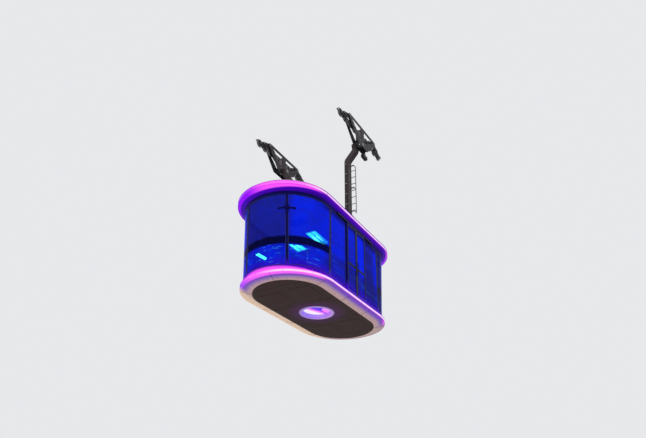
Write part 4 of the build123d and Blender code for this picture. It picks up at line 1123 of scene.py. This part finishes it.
# %% Skirt
SKIRT_SCREWS = (1.215, -6.3120, 0.30)
SKIRT_OUT, SKIRT_DOWN = 0.235, Vector((0, 0, -0.972))
SKIRT_SCREW = (0.016, 0.004, 0.026, 0.002)
SKIRT_SEAMS = (1.140, -6.3300, 1.35)
SEAM_OUT, SEAM_UP = 0.350, Vector((0, 0, 0.0848))
SKIRT_SEAM_RADIUS = 0.005
screws = [
    (place, out * SKIRT_OUT + SKIRT_DOWN, X_AXIS)
    for place, out, along in round_plan(FLOOR_HALF, *SKIRT_SCREWS)
]
seams = [
    ([place, place + out * SEAM_OUT + SEAM_UP], False)
    for place, out, along in round_plan(FLOOR_HALF, *SKIRT_SEAMS)
]
bolts.grow("skirt_screws", screws, "cabin", "pin_steel", *SKIRT_SCREW)
beads.grow("skirt_seams", seams, "cabin", "pan_paint", SKIRT_SEAM_RADIUS)

# %% [markdown]
# The pan inside the skirt is closed by seam strips, with a row of rivets on each
# side of a strip, and by four flat covers. A ring of rivets holds the floor
# window, and another goes round each cover. Their places are worked out with
# what they hold, and all of them are made as one mesh.

# %% Pan
PAN_Z = -6.342
PAN_RADIUS = 1.130
STRIPS_X = (-2.25, -0.78, 0.78, 2.25)
STRIP_RADIUS, STRIP_SHORT = 0.009, 0.03
RIVET_PITCH, RIVET_BESIDE = 0.12, 0.032
WINDOW_RIVETS, WINDOW_RIVET_RING = 16, 0.600
RIVET = (0.014, 0.003, 0.022, 0.002)
COVER = (0.84, 0.68, 0.006)
COVER_X, COVER_Y = 1.50, 0.52
COVER_RIVETS, COVER_RIVET_X, COVER_RIVET_Y = 12, 0.385, 0.305
strips, rivets = [], []
for x in STRIPS_X:
    reach = math.sqrt(PAN_RADIUS ** 2 - max(0.0, abs(x) - FLOOR_HALF) ** 2) - STRIP_SHORT
    strips.append(([(x, -reach, PAN_Z), (x, reach, PAN_Z)], False))
    last = int(reach / RIVET_PITCH)
    for step in range(-last, last + 1):
        rivets += [(x + side * RIVET_BESIDE, step * RIVET_PITCH, PAN_Z) for side in BOTH]
rivets += [(x, y, PAN_Z) for x, y in circle(WINDOW_RIVETS, WINDOW_RIVET_RING)]
covers = [(end * COVER_X, side * COVER_Y, PAN_Z) for end in BOTH for side in BOTH]
for x, y, z in covers:
    for step in range(COVER_RIVETS):
        angle = 2 * math.pi * (step + 0.5) / COVER_RIVETS
        across, beside = math.cos(angle), math.sin(angle)
        reach = min(COVER_RIVET_X / max(abs(across), 0.01), COVER_RIVET_Y / max(abs(beside), 0.01))
        rivets.append((x + reach * across, y + reach * beside, z - COVER[2]))
beads.grow("pan_seams", strips, "cabin", "pan_paint", STRIP_RADIUS)
bars.grow("pan_covers", [(place, -Z_AXIS, X_AXIS) for place in covers], "cabin", "pan_paint", *COVER)
bolts.grow("pan_rivets", [(place, -Z_AXIS, X_AXIS) for place in rivets], "cabin", "pin_steel", *RIVET)

# %% [markdown]
# The loads of the hangers go into the yoke through bolted feet, and the yoke is
# bolted to the roof along both flanges. The toe boards and the cabinet are
# bolted down too. All these bolts stand up, so one list of places makes them.
# The bolts round the hubs of the hangers face inwards. The seams of the roof
# skin run across it, as far as its round ends let them.

# %% Bolts and seams on the roof
ROOF_Z = -3.270
FOOT_Z, YOKE_Z, CABINET_Z, BOARD_Z = -3.080, ROOF_Z + 0.020, ROOF_Z + 0.006, ROOF_Z + 0.015
FOOT_X, FOOT_BOLTS_Y = 0.128, (1.102, 1.298)
YOKE_X, YOKE_BOLT_Y, YOKE_BOLT_PITCH = 0.133, 0.06, 0.14
CABINET_BOLTS_X, CABINET_BOLT_Y = (-1.49, -1.10, -0.71), 0.290
BOARD_BOLTS_X, BOARD_BOLT_Y = (0.35, 1.115, 1.882), 1.139
ROOF_BOLT = (0.030, 0.016, 0.044, 0.004)
HUB_FACE, HUB_Z, HUB_BOLTS, HUB_BOLT_RING = 1.4382, -0.300, 8, 0.112
HUB_BOLT = (0.026, 0.010, 0.038, 0.004)
ROOF_SEAMS_X = (-2.9, -2.3, -1.7, -0.45, 0.45, 1.7, 2.3, 2.9)
ROOF_SEAM_RADIUS, ROOF_SKIN_RADIUS = 0.009, 1.325
standing, hub_bolts, seams = [], [], []
for side in BOTH:
    for end in BOTH:
        standing += [(end * FOOT_X, side * y, FOOT_Z) for y in FOOT_BOLTS_Y]
        for step in range(9):
            standing.append((end * YOKE_X, side * (YOKE_BOLT_Y + step * YOKE_BOLT_PITCH), YOKE_Z))
    standing += [(x, side * CABINET_BOLT_Y, CABINET_Z) for x in CABINET_BOLTS_X]
    standing += [(end * x, side * BOARD_BOLT_Y, BOARD_Z) for x in BOARD_BOLTS_X for end in BOTH]
    for x, rise in circle(HUB_BOLTS, HUB_BOLT_RING):
        hub_bolts.append(((x, side * HUB_FACE, HUB_Z + rise), -side * Y_AXIS, X_AXIS))
for x in ROOF_SEAMS_X:
    reach = math.sqrt(ROOF_SKIN_RADIUS ** 2 - max(0.0, abs(x) - ROOF_HALF) ** 2)
    seams.append(([(x, -reach, ROOF_Z), (x, reach, ROOF_Z)], False))
bolts.grow("roof_bolts", [(place, Z_AXIS, X_AXIS) for place in standing], "cabin", "pin_steel", *ROOF_BOLT)
bolts.grow("hub_bolts", hub_bolts, "cabin", "pin_steel", *HUB_BOLT)
beads.grow("roof_seams", seams, "cabin", "roof_paint", ROOF_SEAM_RADIUS)

# %% [markdown]
# A steel pipe with wires in it leads from the roof cabinet to each hanger and up
# its rear face. Its elbows are tight, because it is a pipe and not a hose. It is
# a bent line with a round section, and flat clips hold it.

# %% Wiring pipes
PIPE_RADIUS = 0.016
PIPE_BENDS = (
    (-0.725, 0.16, -3.224), (-0.240, 0.16, -3.224), (-0.215, 0.165, -3.224), (-0.200, 0.18, -3.224),
    (-0.195, 0.205, -3.224), (-0.195, 1.145, -3.224), (-0.195, 1.175, -3.219), (-0.195, 1.195, -3.199),
    (-0.195, 1.20, -3.170), (-0.195, 1.20, -3.060), (-0.190, 1.20, -3.035), (-0.133, 1.20, -2.965),
    (-0.128, 1.20, -2.940), (-0.128, 1.20, -0.930),
)
CLIP_X, CLIP_Y, CLIP_Z, CLIP_PITCH = -0.110, 1.20, -2.70, 0.42
CLIP = (0.070, 0.030, 0.038)
pipes, clips = [], []
for side in BOTH:
    pipes.append(([(x, side * y, z) for x, y, z in PIPE_BENDS], False))
    for step in range(5):
        clips.append(((CLIP_X, side * CLIP_Y, CLIP_Z + CLIP_PITCH * step), -X_AXIS, Y_AXIS))
beads.grow("wiring_pipes", pipes, "cabin", "hanger_paint", PIPE_RADIUS)
bars.grow("pipe_clips", clips, "cabin", "walk_metal", *CLIP)

# %% [markdown]
# Inside, the deck has raised ribs along the cabin, which stop short of the wall
# and of the floor window.

# %% Deck ribs
DECK_Z = -6.150
DECK_RADIUS, DECK_WINDOW_RADIUS = 1.30, 0.50
RIB_PITCH, RIB_RADIUS = 0.05, 0.005
ribs = []
for step in range(-25, 26):
    y = step * RIB_PITCH
    reach = FLOOR_HALF + math.sqrt(DECK_RADIUS ** 2 - y ** 2)
    gap = math.sqrt(max(0.0, DECK_WINDOW_RADIUS ** 2 - y ** 2))
    stretches = ((-reach, -gap), (gap, reach)) if gap else ((-reach, reach),)
    ribs += [([(start, y, DECK_Z), (stop, y, DECK_Z)], False) for start, stop in stretches]
beads.grow("deck_ribs", ribs, "cabin", "deck", RIB_RADIUS)

# %% [markdown]
# Each tube of the ceiling lamps sits in a thin frame. Air leaves the cabin
# through two slatted grilles in the ceiling: each slat is a bar, and a line with
# a round section frames them.

# %% Lamp frames and ceiling grilles
LAMP_FRAME_Z, LAMP_FRAME_RADIUS = -3.643, 0.006
TUBE_BESIDE, FRAME_HALF_LENGTH, FRAME_HALF_WIDTH = 0.075, 0.214, 0.034
CEILING_Z, GRILLE_FRAME_RADIUS = -3.640, 0.011
GRILLES_X, GRILLE_HALF_LENGTH, GRILLE_HALF_WIDTH = (-1.25, 2.05), 0.200, 0.280
SLATS, SLAT_PITCH = 11, 0.034
SLAT = (0.540, 0.012, 0.014)


def level(x, y, z, half_length, half_width):
    """A closed line round something that lies level, from its middle."""
    turns = ((-1, -1), (1, -1), (1, 1), (-1, 1))
    return [(x + a * half_length, y + b * half_width, z) for a, b in turns], True


bezels = [
    level(0.0, row + side * TUBE_BESIDE, LAMP_FRAME_Z, FRAME_HALF_LENGTH, FRAME_HALF_WIDTH)
    for row in (UNLIT_ROW, *LIT_ROWS) for side in BOTH
]
slats = [
    ((middle + SLAT_PITCH * (step - SLATS // 2), 0.0, CEILING_Z), -Z_AXIS, Y_AXIS)
    for middle in GRILLES_X for step in range(SLATS)
]
frames = [level(x, 0.0, CEILING_Z, GRILLE_HALF_LENGTH, GRILLE_HALF_WIDTH) for x in GRILLES_X]
beads.grow("lamp_frames", bezels, "cabin", "header_metal", LAMP_FRAME_RADIUS)
bars.grow("grille_slats", slats, "cabin", "header_metal", *SLAT)
beads.grow("grille_frames", frames, "cabin", "header_metal", GRILLE_FRAME_RADIUS)

# %% [markdown]
# The attendant's desk has a lit screen and a row of buttons on its sloping top,
# and a reading lamp on a bent stem. The lamp is the third bright spot that shows
# through the end glass.

# %% On the desk
DESK_SLOPE = Vector((0.0, -0.390, 0.921))
SCREEN_PLACE, SCREEN = (-1.650, 1.075, -5.0885), (0.200, 0.110, 0.008)
BUTTON_X, BUTTON_Y, BUTTON_Z, BUTTON_PITCH = -1.745, 0.980, -5.1285, 0.038
BUTTON = (0.016, 0.006, 0.022, 0.003)
STEM_RADIUS, HOOD_RADIUS, TUBE_RADIUS = 0.011, 0.060, 0.054
STEM = ((-1.700, 1.250, -5.060), (-1.700, 1.250, -4.880), (-1.690, 1.215, -4.790), (-1.680, 1.110, -4.752))
HOOD = ((-1.880, 1.114, -4.756), (-1.460, 1.070, -4.756))
TUBE = ((-1.870, 1.113, -4.790), (-1.470, 1.071, -4.790))
buttons = [((BUTTON_X + BUTTON_PITCH * step, BUTTON_Y, BUTTON_Z), DESK_SLOPE, X_AXIS) for step in range(6)]
bars.grow("desk_screen", [(SCREEN_PLACE, DESK_SLOPE, X_AXIS)], "cabin", "ceiling_panel", *SCREEN)
bolts.grow("desk_buttons", buttons, "cabin", "pin_steel", *BUTTON)
beads.grow("lamp_stem", [(STEM, False)], "cabin", "desk_paint", STEM_RADIUS)
beads.grow("lamp_hood", [(HOOD, False)], "cabin", "desk_paint", HOOD_RADIUS)
beads.grow("desk_lamp", [(TUBE, False)], "cabin", "lamp", TUBE_RADIUS)

# %% [markdown]
# Two flat lamps hang under the floor window and light its well: a half moon
# along the wall, and a small slanted square beside it. They show through the
# lower glass. A flat lamp is an outline with a thickness, so its mesh is written
# out directly: a face below, a face above, and one for each edge between them.

# %% Lamps in the floor window
WELL_LAMP_LOW, WELL_LAMP_HIGH = -6.232, -6.1898
MOON_RADIUS, MOON_STEPS = 0.445, 32
MOON_FROM, MOON_TO = -2.6, 139.5
SQUARE = ((0.075, -0.224), (0.335, -0.285), (0.425, -0.120), (0.166, -0.084))


def flat_lamp(name, outline):
    """A closed plate whose outline runs anticlockwise, seen from above."""
    count = len(outline)
    points = [(x, y, z) for z in (WELL_LAMP_LOW, WELL_LAMP_HIGH) for x, y in outline]
    faces = [tuple(reversed(range(count))), tuple(range(count, 2 * count))]
    for here in range(count):
        after = (here + 1) % count
        faces.append((here, after, count + after, count + here))
    mesh = bpy.data.meshes.new(name)
    mesh.from_pydata(points, [], faces)
    mesh.materials.append(lens.material)
    hang(placed(name, mesh), "cabin")


moon = []
for step in range(MOON_STEPS + 1):
    angle = math.radians(MOON_FROM + (MOON_TO - MOON_FROM) * step / MOON_STEPS)
    moon.append((MOON_RADIUS * math.cos(angle), MOON_RADIUS * math.sin(angle)))
flat_lamp("well_lamp_moon", moon)
flat_lamp("well_lamp_square", SQUARE)

# %% [markdown]
# The hatch lid has a handle to lift it by. It rides on the lid, so it opens with
# it. The cabinet beside it is shut with two latches on each long side.

# %% Hatch handle and cabinet latches
LID_TOP_Z = -3.200
BOW_X, BOW_RADIUS = 1.330, 0.009
# columns: distance across, height above the lid
BOW = ((-0.090, -0.004), (-0.090, 0.034), (-0.078, 0.044), (0.078, 0.044), (0.090, 0.034), (0.090, -0.004))
LATCHES_X, LATCH_Y, LATCH_Z = (-1.420, -0.780), 0.280, -3.130
LATCH = (0.090, 0.036, 0.014)
bow = [(BOW_X, y, LID_TOP_Z + rise) for y, rise in BOW]
latches = [((x, side * LATCH_Y, LATCH_Z), side * Y_AXIS, Z_AXIS) for side in BOTH for x in LATCHES_X]
beads.grow("hatch_handle", [(bow, False)], "hatch_lid", "pin_steel", BOW_RADIUS)
bars.grow("cabinet_latches", latches, "cabin", "pin_steel", *LATCH)
